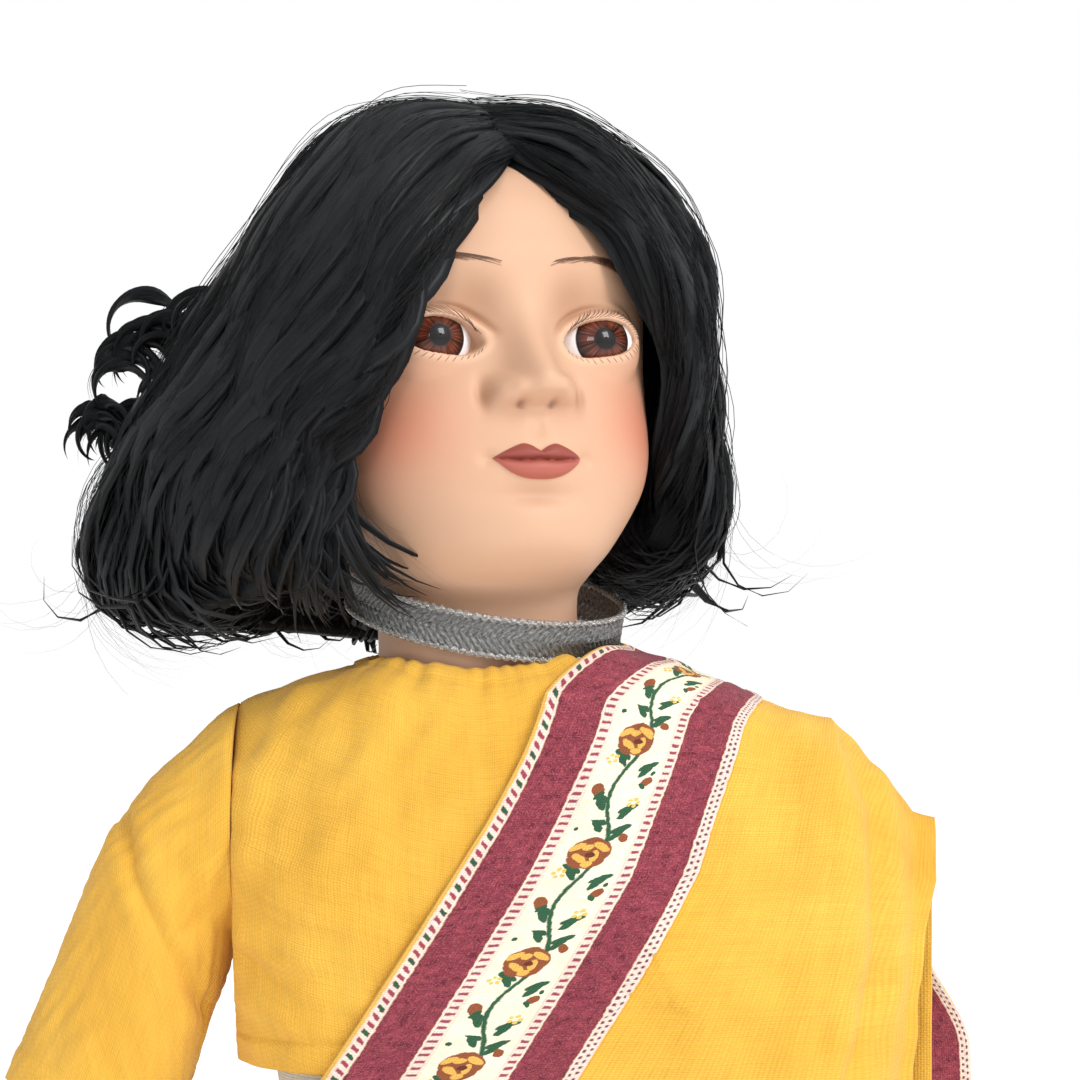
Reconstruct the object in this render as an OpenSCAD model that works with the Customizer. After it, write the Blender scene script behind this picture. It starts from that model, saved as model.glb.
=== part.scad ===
// Bisque collector doll in a sari: porcelain head, hands and feet on a stuffed cloth body.
// Origin on the floor under the neck axis, +Z up, the doll's front towards -Y.
// "right" and "left" are the doll's own, so the right side lies towards -X.

/* [Body] */
// Height of the hip seams above the floor
leg_len = 200; // [170:1:240]
// From the hip seams up to the neck pivot
torso_len = 145; // [130:1:174]
// Chest width of the stuffed torso
chest_w = 86; // [80:1:92]
// Chest depth of the stuffed torso
chest_d = 42; // [40:1:50]
// Radius of the stuffed thigh
thigh_r = 13.5; // [11:0.5:15]

/* [Shoulder plate and neck] */
// Radius of the ball at the foot of the neck
neck_ball_r = 19.5; // [17:0.5:20]
// Radius of the neck above the ball
neck_r = 18.8; // [15:0.2:19]
// Wall of the bisque castings
bisque_wall = 2.9; // [2.4:0.1:3.4]
// Clearance between the neck ball and its cup
neck_gap = 0.3; // [0.2:0.05:0.5]
// How far the shoulder plate reaches below the neck pivot
plate_drop = 34; // [30:1:38]
// Diameter of the neck bolt
bolt_d = 4; // [3:0.5:5]

/* [Head] */
// Turn of the head to its left at rest
head_turn = 20; // [0:1:30]
// Backward tilt of the head at rest
head_tilt = 8; // [0:1:12]
// Diameter of the glass eyes
eye_d = 18; // [16:0.5:19]
// Spacing of the eye centres
eye_spacing = 32; // [30:0.5:33]

/* [Arms] */
// From the shoulder seam to the elbow
upper_arm_len = 66; // [58:1:80]
// From the elbow to the wrist
forearm_len = 48; // [40:1:60]
// Radius of the stuffed upper arm
arm_r = 9.5; // [8:0.5:11]
// Outward slant of the right arm
right_slant = 22; // [16:1:30]
// Outward slant of the left arm
left_slant = 12; // [8:1:16]
// Bend of the elbows at rest
elbow_rest = 22; // [10:1:30]

/* [Clothes] */
// Thickness of the sewn cotton
cloth_t = 1.2; // [0.9:0.1:1.4]
// Radius of the blouse neckline
neckline_r = 21.5; // [21:0.5:24]
// Radius of the skirt at the hem
hem_r = 78; // [65:1:95]
// Width of the printed border
border_w = 36; // [25:1:44]
// Radius of the braid choker
choker_r = 26.4; // [26:0.2:27]
// Width of the choker braid
choker_w = 8; // [6:0.5:9]

/* [Hidden] */

$fn = 48;
soft_fn = 24;
gap = 0.3;

hip_z = leg_len;
neck_z = hip_z + torso_len;
shoulder_z = neck_z - 24;
waist_z = hip_z + 60;
blouse_hem_z = neck_z - 65;
plate_z = neck_z - plate_drop;
waist_top_z = waist_z + 2;

chest_ball = chest_d / 2;
chest_x = chest_w / 2 - chest_ball;
shoulder_ball = 9;
shoulder_x = chest_w / 2 - 6;
collar_ball = 6;
collar_x = neckline_r - collar_ball - 0.5;
collar_y = 14;
collar_z = neck_z - 3.5;
hip_ball = 20;

// Each layer of clothing lies at its own distance outside the stuffed torso
plate_out = gap + bisque_wall;
blouse_in = plate_out + 0.4;
blouse_out = blouse_in + cloth_t;
drape_in = blouse_out + 0.4;
drape_out = drape_in + cloth_t;
border_t = 0.6;

// The cut planes between the torso and what swings on it
arm_plane = chest_w / 2 + 3;
arm_x = arm_plane + gap + 5;
sleeve_cap_right = 21.5;
sleeve_cap_left = 19;
thigh_x = 16;

bisque = [0.93, 0.76, 0.62];
hair_black = [0.05, 0.05, 0.06];
yellow_cotton = [0.98, 0.80, 0.32];
body_cloth = [0.90, 0.86, 0.78];
steel = [0.65, 0.65, 0.68];
border_print = [0.62, 0.25, 0.32];

// ---------- frames ----------

// The head turns on the upright bolt and nods on the ball
module head_frame() {
  translate([0, 0, neck_z]) rotate([0, 0, head_turn]) rotate([-head_tilt, 0, 0]) children();
}

// side is -1 for the doll's right and +1 for its left
function slant(side) = side < 0 ? right_slant : -left_slant;

module arm_frame(side) {
  translate([side * arm_x, 0, shoulder_z]) rotate([0, slant(side), 0]) children();
}

module elbow_frame(side) {
  arm_frame(side) translate([0, 0, -upper_arm_len]) rotate([-elbow_rest, 0, 0]) children();
}

module leg_frame(side) {
  translate([side * thigh_x, 0, hip_z]) children();
}

// ---------- head ----------

eye_r = eye_d / 2;
eye_y = -25.5;
eye_z = 62.5;
crown_z = 91;
chin_y = -27;
chin_z = 32;

// Radial room around the bolt in the neck ball, for the head's tilt and 4 degrees of nod
nod_room = neck_ball_r * sin(head_tilt + 4) + 0.35;

// Skull, cheeks and chin, grown outwards by g
module head_form(g) {
  hull() {
    translate([0, -1, 70]) sphere(r = 33 + g, $fn = soft_fn);
    translate([0, -12, 77]) sphere(r = 25 + g, $fn = soft_fn);
    for (s = [-1, 1]) translate([s * 12.5, -16, 47]) sphere(r = 20 + g, $fn = soft_fn);
    translate([0, chin_y, chin_z]) sphere(r = 10.5 + g, $fn = soft_fn);
  }
}

module nose() {
  hull() {
    translate([0, -34, 66]) sphere(r = 3, $fn = soft_fn);
    translate([0, -43.5, 53.5]) sphere(r = 4.2, $fn = soft_fn);
    for (s = [-1, 1]) translate([s * 4, -38.5, 51.5]) sphere(r = 3.6, $fn = soft_fn);
  }
}

module at_eye(side) {
  translate([side * eye_spacing / 2, eye_y, eye_z]) children();
}

module head() {
  color(bisque) head_frame() difference() {
    union() {
      head_form(0);
      nose();
      sphere(r = neck_ball_r);
      cylinder(r = neck_r, h = 34);
    }
    head_form(-bisque_wall);
    cylinder(r = neck_r - bisque_wall, h = 40);
    sphere(r = neck_ball_r - bisque_wall);
    translate([0, 0, -neck_ball_r - 1]) cylinder(r = bolt_d / 2 + nod_room, h = neck_ball_r);
    translate([-60, -60, crown_z]) cube([120, 120, 30]);
    for (s = [-1, 1]) at_eye(s) {
      sphere(r = eye_r + gap);
      rotate([90, 0, 0]) cylinder(r = 6, h = 30);
    }
  }
}

module pate() {
  color(body_cloth) head_frame() intersection() {
    difference() {
      head_form(0);
      head_form(-1.5);
    }
    translate([-60, -60, crown_z + gap]) cube([120, 120, 30]);
  }
}

// Blown glass ball with a raised clear cornea
module glass_eye(side) {
  color("white") head_frame() at_eye(side) {
    sphere(r = eye_r);
    intersection() {
      translate([0, -3.4, 0]) sphere(r = eye_r - 2.2);
      rotate([90, 0, 0]) cylinder(r = 5.4, h = 20);
    }
  }
}

// Plaster poured behind the eye, which holds it against the inside of its socket
module eye_plaster(side) {
  plaster_r = eye_r + 2;
  color("ivory") head_frame() difference() {
    intersection() {
      head_form(-bisque_wall - gap);
      at_eye(side) translate([0, 4, 0]) rotate([-90, 0, 0]) cylinder(r = plaster_r, h = 8);
    }
    at_eye(side) sphere(r = eye_r + 0.1);
  }
}

// ---------- wig ----------

hair_split_z = 82;
hair_split_x = 10;

module wig_cap() {
  color(hair_black) head_frame() intersection() {
    difference() {
      head_form(1.1);
      head_form(gap);
    }
    union() {
      translate([-60, -60, 98]) cube([120, 120, 40]);
      translate([-60, 0, 60]) cube([120, 100, 80]);
    }
  }
}

// Whole mass of the wig: crown, side falls and the flipped-out curls
module wig_mass() {
  difference() {
    union() {
      hull() {
        translate([0, 5, 74]) sphere(r = 40, $fn = soft_fn);
        for (s = [-1, 1]) translate([s * 30, 12, 46]) sphere(r = 21, $fn = soft_fn);
      }
      hull() {
        translate([-30, 4, 76]) sphere(r = 15, $fn = soft_fn);
        translate([-42, 18, 46]) sphere(r = 24, $fn = soft_fn);
        translate([-47, 16, 32]) sphere(r = 24, $fn = soft_fn);
      }
      hull() {
        translate([32, -1, 77]) sphere(r = 19, $fn = soft_fn);
        translate([35, 4, 35]) sphere(r = 20, $fn = soft_fn);
      }
    }
    head_form(1.4);
    cylinder(r = choker_r + 5, h = 34);
    translate([-27, -80, -10]) cube([54, 68, 108]);
  }
}

// Room that the wig keeps above the shoulders while the head turns and nods
module shoulder_room() {
  translate([0, 0, neck_z]) rotate_extrude() polygon([
    [0, -60], [100, -60], [100, -1], [70, 2.5], [52, 6.5], [30, 10.5], [0, 10.5]
  ]);
}

module wig_cell(lo, hi) {
  difference() {
    head_frame() intersection() {
      wig_mass();
      translate(lo) cube(hi - lo);
    }
    shoulder_room();
  }
}

module hair_top() {
  color(hair_black) wig_cell([-90, -90, hair_split_z + 0.15], [90, 90, 130]);
}

module hair_right() {
  color(hair_black) wig_cell([-100, -90, -30], [-hair_split_x - 0.15, 90, hair_split_z - 0.15]);
}

module hair_left() {
  color(hair_black) wig_cell([hair_split_x + 0.15, -90, -30], [100, 90, hair_split_z - 0.15]);
}

module hair_back() {
  color(hair_black) wig_cell([-hair_split_x + 0.15, 8, -30], [hair_split_x - 0.15, 90, hair_split_z - 0.15]);
}

// ---------- neck fittings ----------

cup_out = neck_ball_r + neck_gap + bisque_wall;
washer_t = 2;
spring_len = 9;
bolt_head_z = -9.5;
head_washer_r = 13;

module neck_frame() {
  translate([0, 0, neck_z]) children();
}

// Wooden bell washer seated inside the neck ball
module head_washer() {
  color("burlywood") neck_frame() difference() {
    intersection() {
      sphere(r = neck_ball_r - bisque_wall - 0.1);
      translate([0, 0, -20]) cylinder(r = head_washer_r, h = 20 + bolt_head_z);
    }
    translate([0, 0, -20]) cylinder(r = bolt_d / 2 + 0.05, h = 20);
  }
}

module neck_bolt() {
  shank = cup_out + washer_t + spring_len + 8 + bolt_head_z;
  color(steel) neck_frame() {
    translate([0, 0, bolt_head_z + 0.02]) cylinder(r = bolt_d * 0.9, h = 3, $fn = 6);
    translate([0, 0, bolt_head_z - shank]) cylinder(r = bolt_d / 2, h = shank + 0.1);
  }
}

// Dished washer that bears on the underside of the neck cup
module lower_washer() {
  color(steel) neck_frame() difference() {
    translate([0, 0, -cup_out - washer_t]) cylinder(r = 8, h = washer_t + 3);
    sphere(r = cup_out + 0.05);
    translate([0, 0, -cup_out - 10]) cylinder(r = bolt_d / 2 + 0.05, h = 20);
  }
}

// Compression spring under the cup, drawn as its stacked coils
module neck_spring() {
  coils = 5;
  wire = 1;
  pitch = (spring_len - wire) / (coils - 1);
  color(steel) neck_frame() for (i = [0 : coils - 1])
    translate([0, 0, -cup_out - washer_t - wire / 2 - i * pitch])
      rotate_extrude() translate([bolt_d / 2 + 2, 0]) circle(r = wire / 2, $fn = 16);
}

module neck_nut() {
  color(steel) neck_frame() translate([0, 0, -cup_out - washer_t - spring_len - 3.5]) difference() {
    cylinder(r = bolt_d, h = 3.4, $fn = 6);
    translate([0, 0, -1]) cylinder(r = bolt_d / 2 + 0.02, h = 6);
  }
}

// ---------- torso ----------

module upper_balls(g) {
  for (s = [-1, 1]) {
    for (t = [-1, 1]) translate([s * collar_x, t * collar_y, collar_z]) sphere(r = collar_ball + g, $fn = soft_fn);
    translate([s * shoulder_x, 0, neck_z - 13]) sphere(r = shoulder_ball + g, $fn = soft_fn);
    translate([s * chest_x, -3, neck_z - 35]) sphere(r = chest_ball + g, $fn = soft_fn);
  }
}

// Chest from the neck to the waist, grown outwards by g
module chest_form(g) {
  hull() {
    upper_balls(g);
    for (s = [-1, 1]) translate([s * 11, 0, waist_z]) sphere(r = 20 + g, $fn = soft_fn);
  }
}

// The blouse hangs straight from the chest
module blouse_form(g) {
  hull() {
    upper_balls(g);
    for (s = [-1, 1]) translate([s * chest_x * 0.9, 0, blouse_hem_z - 6]) sphere(r = 20 + g, $fn = soft_fn);
  }
}

module between_arms(z0, z1, half) {
  translate([-half, -80, z0]) cube([2 * half, 160, z1 - z0]);
}

module across(r, z) {
  translate([-100, 0, z]) rotate([0, 90, 0]) cylinder(r = r, h = 200);
}

module torso() {
  seat_z = hip_z + thigh_r + gap;
  color(body_cloth) difference() {
    union() {
      chest_form(0);
      intersection() {
        hull() for (s = [-1, 1]) {
          translate([s * 11, 0, waist_z]) sphere(r = 20, $fn = soft_fn);
          translate([s * 14, 1, hip_z + 22]) sphere(r = hip_ball, $fn = soft_fn);
        }
        translate([-80, -80, seat_z]) cube([160, 160, 200]);
      }
      for (s = [-1, 1]) translate([s < 0 ? -arm_plane : 30, 0, shoulder_z])
        rotate([0, 90, 0]) cylinder(r = arm_r, h = arm_plane - 30);
    }
    translate([0, 0, neck_z - 46]) cylinder(r = cup_out + 1, h = 80);
  }
}

sew_hole_x = 26;
// The rim of the neck cup, flared so that the neck can lean in it
rim_h = 4.5;
rim_room = 1.6;

module shoulder_plate() {
  color(bisque) difference() {
    union() {
      intersection() {
        difference() {
          chest_form(plate_out);
          chest_form(gap);
        }
        between_arms(plate_z, neck_z + 20, arm_plane - 1);
      }
      intersection() {
        translate([0, 0, neck_z]) sphere(r = cup_out);
        chest_form(plate_out);
      }
    }
    translate([0, 0, neck_z]) sphere(r = neck_ball_r + neck_gap);
    translate([0, 0, neck_z + rim_h]) cylinder(r = 40, h = 30);
    translate([0, 0, neck_z]) cylinder(r1 = neck_ball_r + neck_gap, r2 = neck_ball_r + rim_room, h = rim_h + 0.1);
    translate([0, 0, neck_z - 40]) cylinder(r = bolt_d / 2 + 0.05, h = 40);
    across(arm_r + 2, shoulder_z);
    for (s = [-1, 1]) translate([s * sew_hole_x, -60, plate_z + 4])
      rotate([-90, 0, 0]) cylinder(r = 1.2, h = 120);
  }
}

// ---------- arms ----------

module arm_side(side) {
  translate([side < 0 ? -arm_plane - gap - 120 : arm_plane + gap, -100, 0]) cube([120, 200, neck_z + 60]);
}

module upper_arm(side) {
  color(body_cloth) intersection() {
    arm_frame(side) {
      sphere(r = arm_r + 1);
      translate([0, 0, -upper_arm_len]) cylinder(r1 = arm_r - 1.5, r2 = arm_r + 1, h = upper_arm_len);
      translate([0, 0, -upper_arm_len]) sphere(r = arm_r - 1.5);
    }
    arm_side(side);
  }
}

module sleeve_solid(cap, cuff, length) {
  sphere(r = cap);
  translate([0, 0, -length]) cylinder(r1 = cuff, r2 = cap * 0.97, h = length - cap * 0.24);
}

module sleeve(side) {
  cap = side < 0 ? sleeve_cap_right : sleeve_cap_left;
  cuff = side < 0 ? 15.5 : 12.5;
  length = upper_arm_len - 6;
  color(yellow_cotton) intersection() {
    arm_frame(side) difference() {
      sleeve_solid(cap, cuff, length);
      translate([0, 0, -0.01]) sleeve_solid(cap - cloth_t, cuff - cloth_t, length + 0.1);
    }
    arm_side(side);
  }
}

elbow_r = arm_r - 1.5;
stub_r = elbow_r - 2.4;
wrist_r = 4.6;

module finger(x, base_z, length, r) {
  hull() {
    translate([x, 0, base_z]) sphere(r = r, $fn = 16);
    translate([x * 1.1, -length * 0.12, base_z - length]) sphere(r = r * 0.8, $fn = 16);
  }
}

module hand() {
  hull() {
    sphere(r = wrist_r - 0.4, $fn = soft_fn);
    for (x = [-5, 5]) translate([x, 0, -13]) sphere(r = 3.1, $fn = soft_fn);
  }
  for (i = [0 : 3]) finger(-5.4 + 3.6 * i, -13, 14 - abs(i - 1.6) * 1.8, 2);
  hull() {
    translate([-4.4, -1, -5]) sphere(r = 2.4, $fn = 16);
    translate([-9.5, -3, -13]) sphere(r = 1.9, $fn = 16);
  }
}

// Poured bisque forearm and hand, with a waist for the tie below the elbow
module forearm(side) {
  color(bisque) elbow_frame(side) difference() {
    union() {
      translate([0, 0, -14]) cylinder(r = stub_r, h = 10);
      translate([0, 0, -forearm_len]) cylinder(r1 = wrist_r, r2 = stub_r + 1.4, h = forearm_len - 14);
      translate([0, 0, -forearm_len]) mirror([side < 0 ? 0 : 1, 0, 0]) rotate([0, 0, -75]) hand();
    }
    sphere(r = elbow_r + gap);
  }
}

module arm_tie(side) {
  color("tan") elbow_frame(side) translate([0, 0, -12.5])
    rotate_extrude() translate([stub_r + 0.1, 0]) square([1, 2.5]);
}

// ---------- legs ----------

knee_drop = 88;
knee_r = 10;
ankle_z = 20;

module thigh(side) {
  color(body_cloth) leg_frame(side) {
    sphere(r = thigh_r);
    translate([0, 0, -knee_drop]) cylinder(r1 = knee_r, r2 = thigh_r, h = knee_drop);
  }
}

module lower_leg(side) {
  shin_top = hip_z - knee_drop - gap;
  color(bisque) translate([side * thigh_x, 0, 0]) difference() {
    union() {
      translate([0, 0, ankle_z]) cylinder(r1 = 6, r2 = knee_r - 1, h = shin_top - ankle_z);
      translate([0, 0, shin_top - 46]) sphere(r = knee_r + 0.2);
      hull() {
        translate([0, 0, ankle_z]) sphere(r = 6.2, $fn = soft_fn);
        translate([0, 6, 6]) sphere(r = 6, $fn = soft_fn);
        for (x = [-3.5, 4]) translate([x, -27, 4.5]) sphere(r = 4.5, $fn = soft_fn);
      }
    }
    translate([-30, -60, -20]) cube([60, 120, 20.5]);
  }
}

module leg_tie(side) {
  color("tan") leg_frame(side) translate([0, 0, -knee_drop - gap - 6])
    rotate_extrude() translate([knee_r - 0.6, 0]) square([1, 3]);
}

// ---------- blouse ----------

snap_z = [neck_z - 20, neck_z - 34, neck_z - 48];
snap_r = 3;

module neck_opening() {
  translate([0, 0, neck_z - 10]) cylinder(r = neckline_r, h = 60);
}

module snap_place(z) {
  translate([0, collar_y + collar_ball + blouse_in, z]) rotate([-90, 0, 0]) children();
}

module blouse() {
  color(yellow_cotton) difference() {
    intersection() {
      difference() {
        blouse_form(blouse_out);
        blouse_form(blouse_in);
      }
      between_arms(blouse_hem_z, neck_z + 20, arm_plane);
    }
    neck_opening();
    across(arm_r + 6, shoulder_z);
    for (z = snap_z) snap_place(z) translate([0, 0, -3]) cylinder(r = snap_r + 0.05, h = 8);
  }
}

module blouse_snaps() {
  color(steel) for (z = snap_z) snap_place(z) translate([0, 0, 0.2]) {
    cylinder(r = snap_r, h = 2.2);
    translate([0, 0, 2.2]) cylinder(r = 1.2, h = 0.7);
  }
}

// ---------- skirt ----------

waist_x = 11;
waist_ball = 22;

// Flared form from the waist to the hem, grown outwards by g
module skirt_form(g, z0, z1) {
  intersection() {
    hull() {
      for (s = [-1, 1]) {
        translate([s * waist_x, 0, waist_top_z - 1]) cylinder(r = waist_ball + g, h = 1, $fn = 64);
        translate([s * 12, 0, hip_z + 18]) cylinder(r = 30 + g, h = 1, $fn = 64);
      }
      cylinder(r = hem_r + g, h = 1, $fn = 64);
    }
    translate([-150, -150, z0]) cube([300, 300, z1 - z0]);
  }
}

module skirt_layer(inner, outer, z0, z1) {
  difference() {
    skirt_form(outer, z0, z1);
    skirt_form(inner, z0 - 1, z1 + 1);
  }
}

petti_t = 1;
skirt_in = petti_t + 0.5;
skirt_out = skirt_in + cloth_t;

module petticoat() {
  color("white") skirt_layer(0, petti_t, 1, waist_top_z - 0.5);
}

module petticoat_waistband() {
  color("white") difference() {
    skirt_form(-gap, waist_z - 8, waist_z + 1.5);
    hull() for (s = [-1, 1]) translate([s * waist_x, 0, waist_z - 20]) cylinder(r = 20.8, h = 60);
  }
}

module sari_skirt() {
  color(yellow_cotton) skirt_layer(skirt_in, skirt_out, 0, waist_top_z);
}

// Four knife pleats that fall from the waist at the front
pleat_n = 4;
pleat_w = 13;
pleat_t = 1.2;

module pleat(i) {
  shift = -i * 5 + 6;
  step = skirt_out + gap + i * (pleat_t + gap);
  color(yellow_cotton) intersection() {
    skirt_layer(step, step + pleat_t, 4, waist_top_z - 6);
    rotate([90, 0, 0]) linear_extrude(height = 160) polygon([
      [shift - pleat_w / 2, waist_top_z], [shift + pleat_w / 2, waist_top_z],
      [shift + pleat_w * 1.15, 0], [shift - pleat_w * 1.15, 0]
    ]);
  }
}

module sari_pleats() {
  for (i = [0 : pleat_n - 1]) pleat(i);
}

module skirt_border() {
  color(border_print) difference() {
    skirt_layer(skirt_out + 0.1, skirt_out + 0.1 + border_t, 3, 3 + border_w);
    translate([-30, -160, -1]) cube([54, 160, border_w + 10]);
  }
}

// ---------- sari over the shoulder ----------

drape_ball = 20;
edge_lean = 0.64;
edge_x = 21;
band_x = border_w / cos(atan(edge_lean));
drape_z = waist_top_z + 2;
// The sari starts this far outside the blouse's neckline, clear of the choker
neckline_room = 5.5;

// Chest and covered arm together, grown outwards by g
module drape_form(g) {
  hull() {
    upper_balls(g);
    for (s = [-1, 1]) translate([s * chest_x * 0.9, 0, blouse_hem_z - 6]) sphere(r = 20 + g, $fn = soft_fn);
    translate([arm_x + 11, 0, shoulder_z - 2]) sphere(r = 14.5 + g, $fn = soft_fn);
    translate([arm_x + 7.5, 0, drape_z - 2]) sphere(r = drape_ball + g, $fn = soft_fn);
  }
}

// The slab of space between two slanted planes, x0 and x1 measured at the neck pivot's height
module slanted_slab(x0, x1, y0, y1) {
  far = 200;
  translate([0, y1, 0]) rotate([90, 0, 0]) linear_extrude(height = y1 - y0) polygon([
    [x0 + far * edge_lean, neck_z + far], [x1 + far * edge_lean, neck_z + far],
    [x1 - far * edge_lean, neck_z - far], [x0 - far * edge_lean, neck_z - far]
  ]);
}

module drape_zone() {
  slanted_slab(edge_x - 5, edge_x + 250, -100, 0);
  translate([edge_x - 5, -0.1, 0]) cube([150, 100, 500]);
}

module drape_shell(inner, outer) {
  difference() {
    drape_form(outer);
    drape_form(inner);
    translate([-150, -150, 0]) cube([300, 300, drape_z]);
    translate([0, 0, neck_z - 10]) cylinder(r = neckline_r + neckline_room, h = 60);
  }
}

module sari_drape() {
  color(yellow_cotton) intersection() {
    drape_shell(drape_in, drape_out);
    drape_zone();
  }
}

// Printed band sewn along the upper edge of the drape, over the shoulder to the back
module drape_border() {
  color(border_print) intersection() {
    drape_shell(drape_out + 0.1, drape_out + 0.1 + border_t);
    union() {
      slanted_slab(edge_x - 5, edge_x - 5 + band_x, -100, 0);
      translate([edge_x - 5, -0.1, neck_z - 40]) cube([border_w, 100, 100]);
    }
  }
}

// Loose end of the sari, which hangs from the shoulder down the back and over the skirt
tail_x0 = edge_x - 5;
tail_w = 86;
tail_top_z = neck_z - 57;
tail_bend_z = waist_z;
tail_z = hip_z - 40;
tail_y = drape_ball + drape_out + border_t + 0.6;
skirt_slope = (hem_r - 32) / (hip_z + 18);
tail_slope = max(skirt_slope, 0.2) + 0.015;

// Depth of the tail's front face at height z
function tail_face(z) = tail_y + max(tail_bend_z - z, 0) * tail_slope;

// A sheet width wide from x0 that follows the tail down, from d0 to d1 behind its front face
module tail_sheet(x0, width, d0, d1) {
  heights = [tail_z, tail_bend_z, tail_top_z];
  translate([x0, 0, 0]) rotate([90, 0, 90]) linear_extrude(height = width) polygon(concat(
    [for (z = heights) [tail_face(z) + d0, z]],
    [for (i = [len(heights) - 1 : -1 : 0]) [tail_face(heights[i]) + d1, heights[i]]]
  ));
}

module sari_tail() {
  color(yellow_cotton) tail_sheet(tail_x0, tail_w, 0, cloth_t);
}

// The same printed band, down the tail's outer edge
module tail_border() {
  color(border_print)
    tail_sheet(tail_x0 + tail_w - border_w, border_w, cloth_t + 0.1, cloth_t + 0.1 + border_t);
}

// ---------- choker ----------

// The ring lies round the neck with its front low and its right side high
choker_x = 1;
choker_y = 3.5;
choker_rise = 17.2;
choker_fall = 11;
choker_lean = 5;

module choker() {
  color("silver") translate([choker_x, choker_y, neck_z + choker_rise]) rotate([choker_fall, choker_lean, 0]) difference() {
    translate([0, 0, -choker_w / 2]) cylinder(r = choker_r, h = choker_w);
    translate([0, 0, -choker_w]) cylinder(r = choker_r - 1, h = 2 * choker_w);
  }
}

head();
pate();
glass_eye(-1);  // eye_right
glass_eye(1);  // eye_left
eye_plaster(-1);  // eye_plaster_right
eye_plaster(1);  // eye_plaster_left
wig_cap();
hair_top();
hair_right();
hair_left();
hair_back();
neck_bolt();
head_washer();
neck_spring();
lower_washer();
neck_nut();
shoulder_plate();
torso();
choker();
upper_arm(-1);  // upper_arm_right
upper_arm(1);  // upper_arm_left
sleeve(-1);  // sleeve_right
sleeve(1);  // sleeve_left
forearm(-1);  // forearm_right
forearm(1);  // forearm_left
arm_tie(-1);  // arm_tie_right
arm_tie(1);  // arm_tie_left
thigh(-1);  // thigh_right
thigh(1);  // thigh_left
lower_leg(-1);  // lower_leg_right
lower_leg(1);  // lower_leg_left
leg_tie(-1);  // leg_tie_right
leg_tie(1);  // leg_tie_left
blouse();
blouse_snaps();
petticoat();
petticoat_waistband();
sari_skirt();
sari_pleats();
skirt_border();
sari_drape();
drape_border();
sari_tail();
tail_border();
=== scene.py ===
import bpy
import math
import numpy as np
from mathutils import Matrix, Vector


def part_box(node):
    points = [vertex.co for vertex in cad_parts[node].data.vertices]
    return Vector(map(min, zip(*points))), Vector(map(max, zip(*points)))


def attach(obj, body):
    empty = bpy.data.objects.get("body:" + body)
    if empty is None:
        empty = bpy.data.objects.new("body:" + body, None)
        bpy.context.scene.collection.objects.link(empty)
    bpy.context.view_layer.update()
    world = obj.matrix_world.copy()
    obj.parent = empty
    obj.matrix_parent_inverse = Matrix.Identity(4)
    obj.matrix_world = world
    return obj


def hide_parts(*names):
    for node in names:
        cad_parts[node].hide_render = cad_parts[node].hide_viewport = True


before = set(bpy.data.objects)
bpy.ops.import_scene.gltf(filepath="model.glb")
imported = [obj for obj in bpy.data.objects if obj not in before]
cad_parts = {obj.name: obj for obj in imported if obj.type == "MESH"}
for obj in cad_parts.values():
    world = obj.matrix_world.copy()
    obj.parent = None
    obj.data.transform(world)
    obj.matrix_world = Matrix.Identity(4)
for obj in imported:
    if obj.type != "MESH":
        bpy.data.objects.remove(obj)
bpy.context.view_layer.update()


# ---------- studio ----------
# A pale floor that runs out past the view, a large soft light above the doll's left front and
# one small square one that is seen in the glass eyes, and the camera level with the neck.

def add(tree, kind, links=None, **settings):
    """One shader node: settings are its properties, and an input is linked if given a socket, else set."""
    made = tree.nodes.new(kind)
    for key, value in settings.items():
        setattr(made, key, value)
    for key, value in (links or {}).items():
        if isinstance(value, bpy.types.NodeSocket):
            tree.links.new(value, made.inputs[key])
        else:
            made.inputs[key].default_value = value
    return made


def new_material(name):
    """An empty node material with its Principled shader already joined to the output."""
    material = bpy.data.materials.new(name)
    material.use_nodes = True
    tree = material.node_tree
    tree.nodes.clear()
    shader = tree.nodes.new("ShaderNodeBsdfPrincipled")
    output = tree.nodes.new("ShaderNodeOutputMaterial")
    tree.links.new(shader.outputs[0], output.inputs[0])
    return material, tree, shader


def soft_light(name, place, aim, side, watts):
    """A square area light at place that faces aim, side metres wide."""
    lamp = bpy.data.lights.new(name, "AREA")
    lamp.size = side
    lamp.energy = watts
    holder = bpy.data.objects.new(name, lamp)
    holder.location = place
    holder.rotation_euler = (Vector(aim) - Vector(place)).to_track_quat("-Z", "Y").to_euler()
    bpy.context.collection.objects.link(holder)
    return holder


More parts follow.
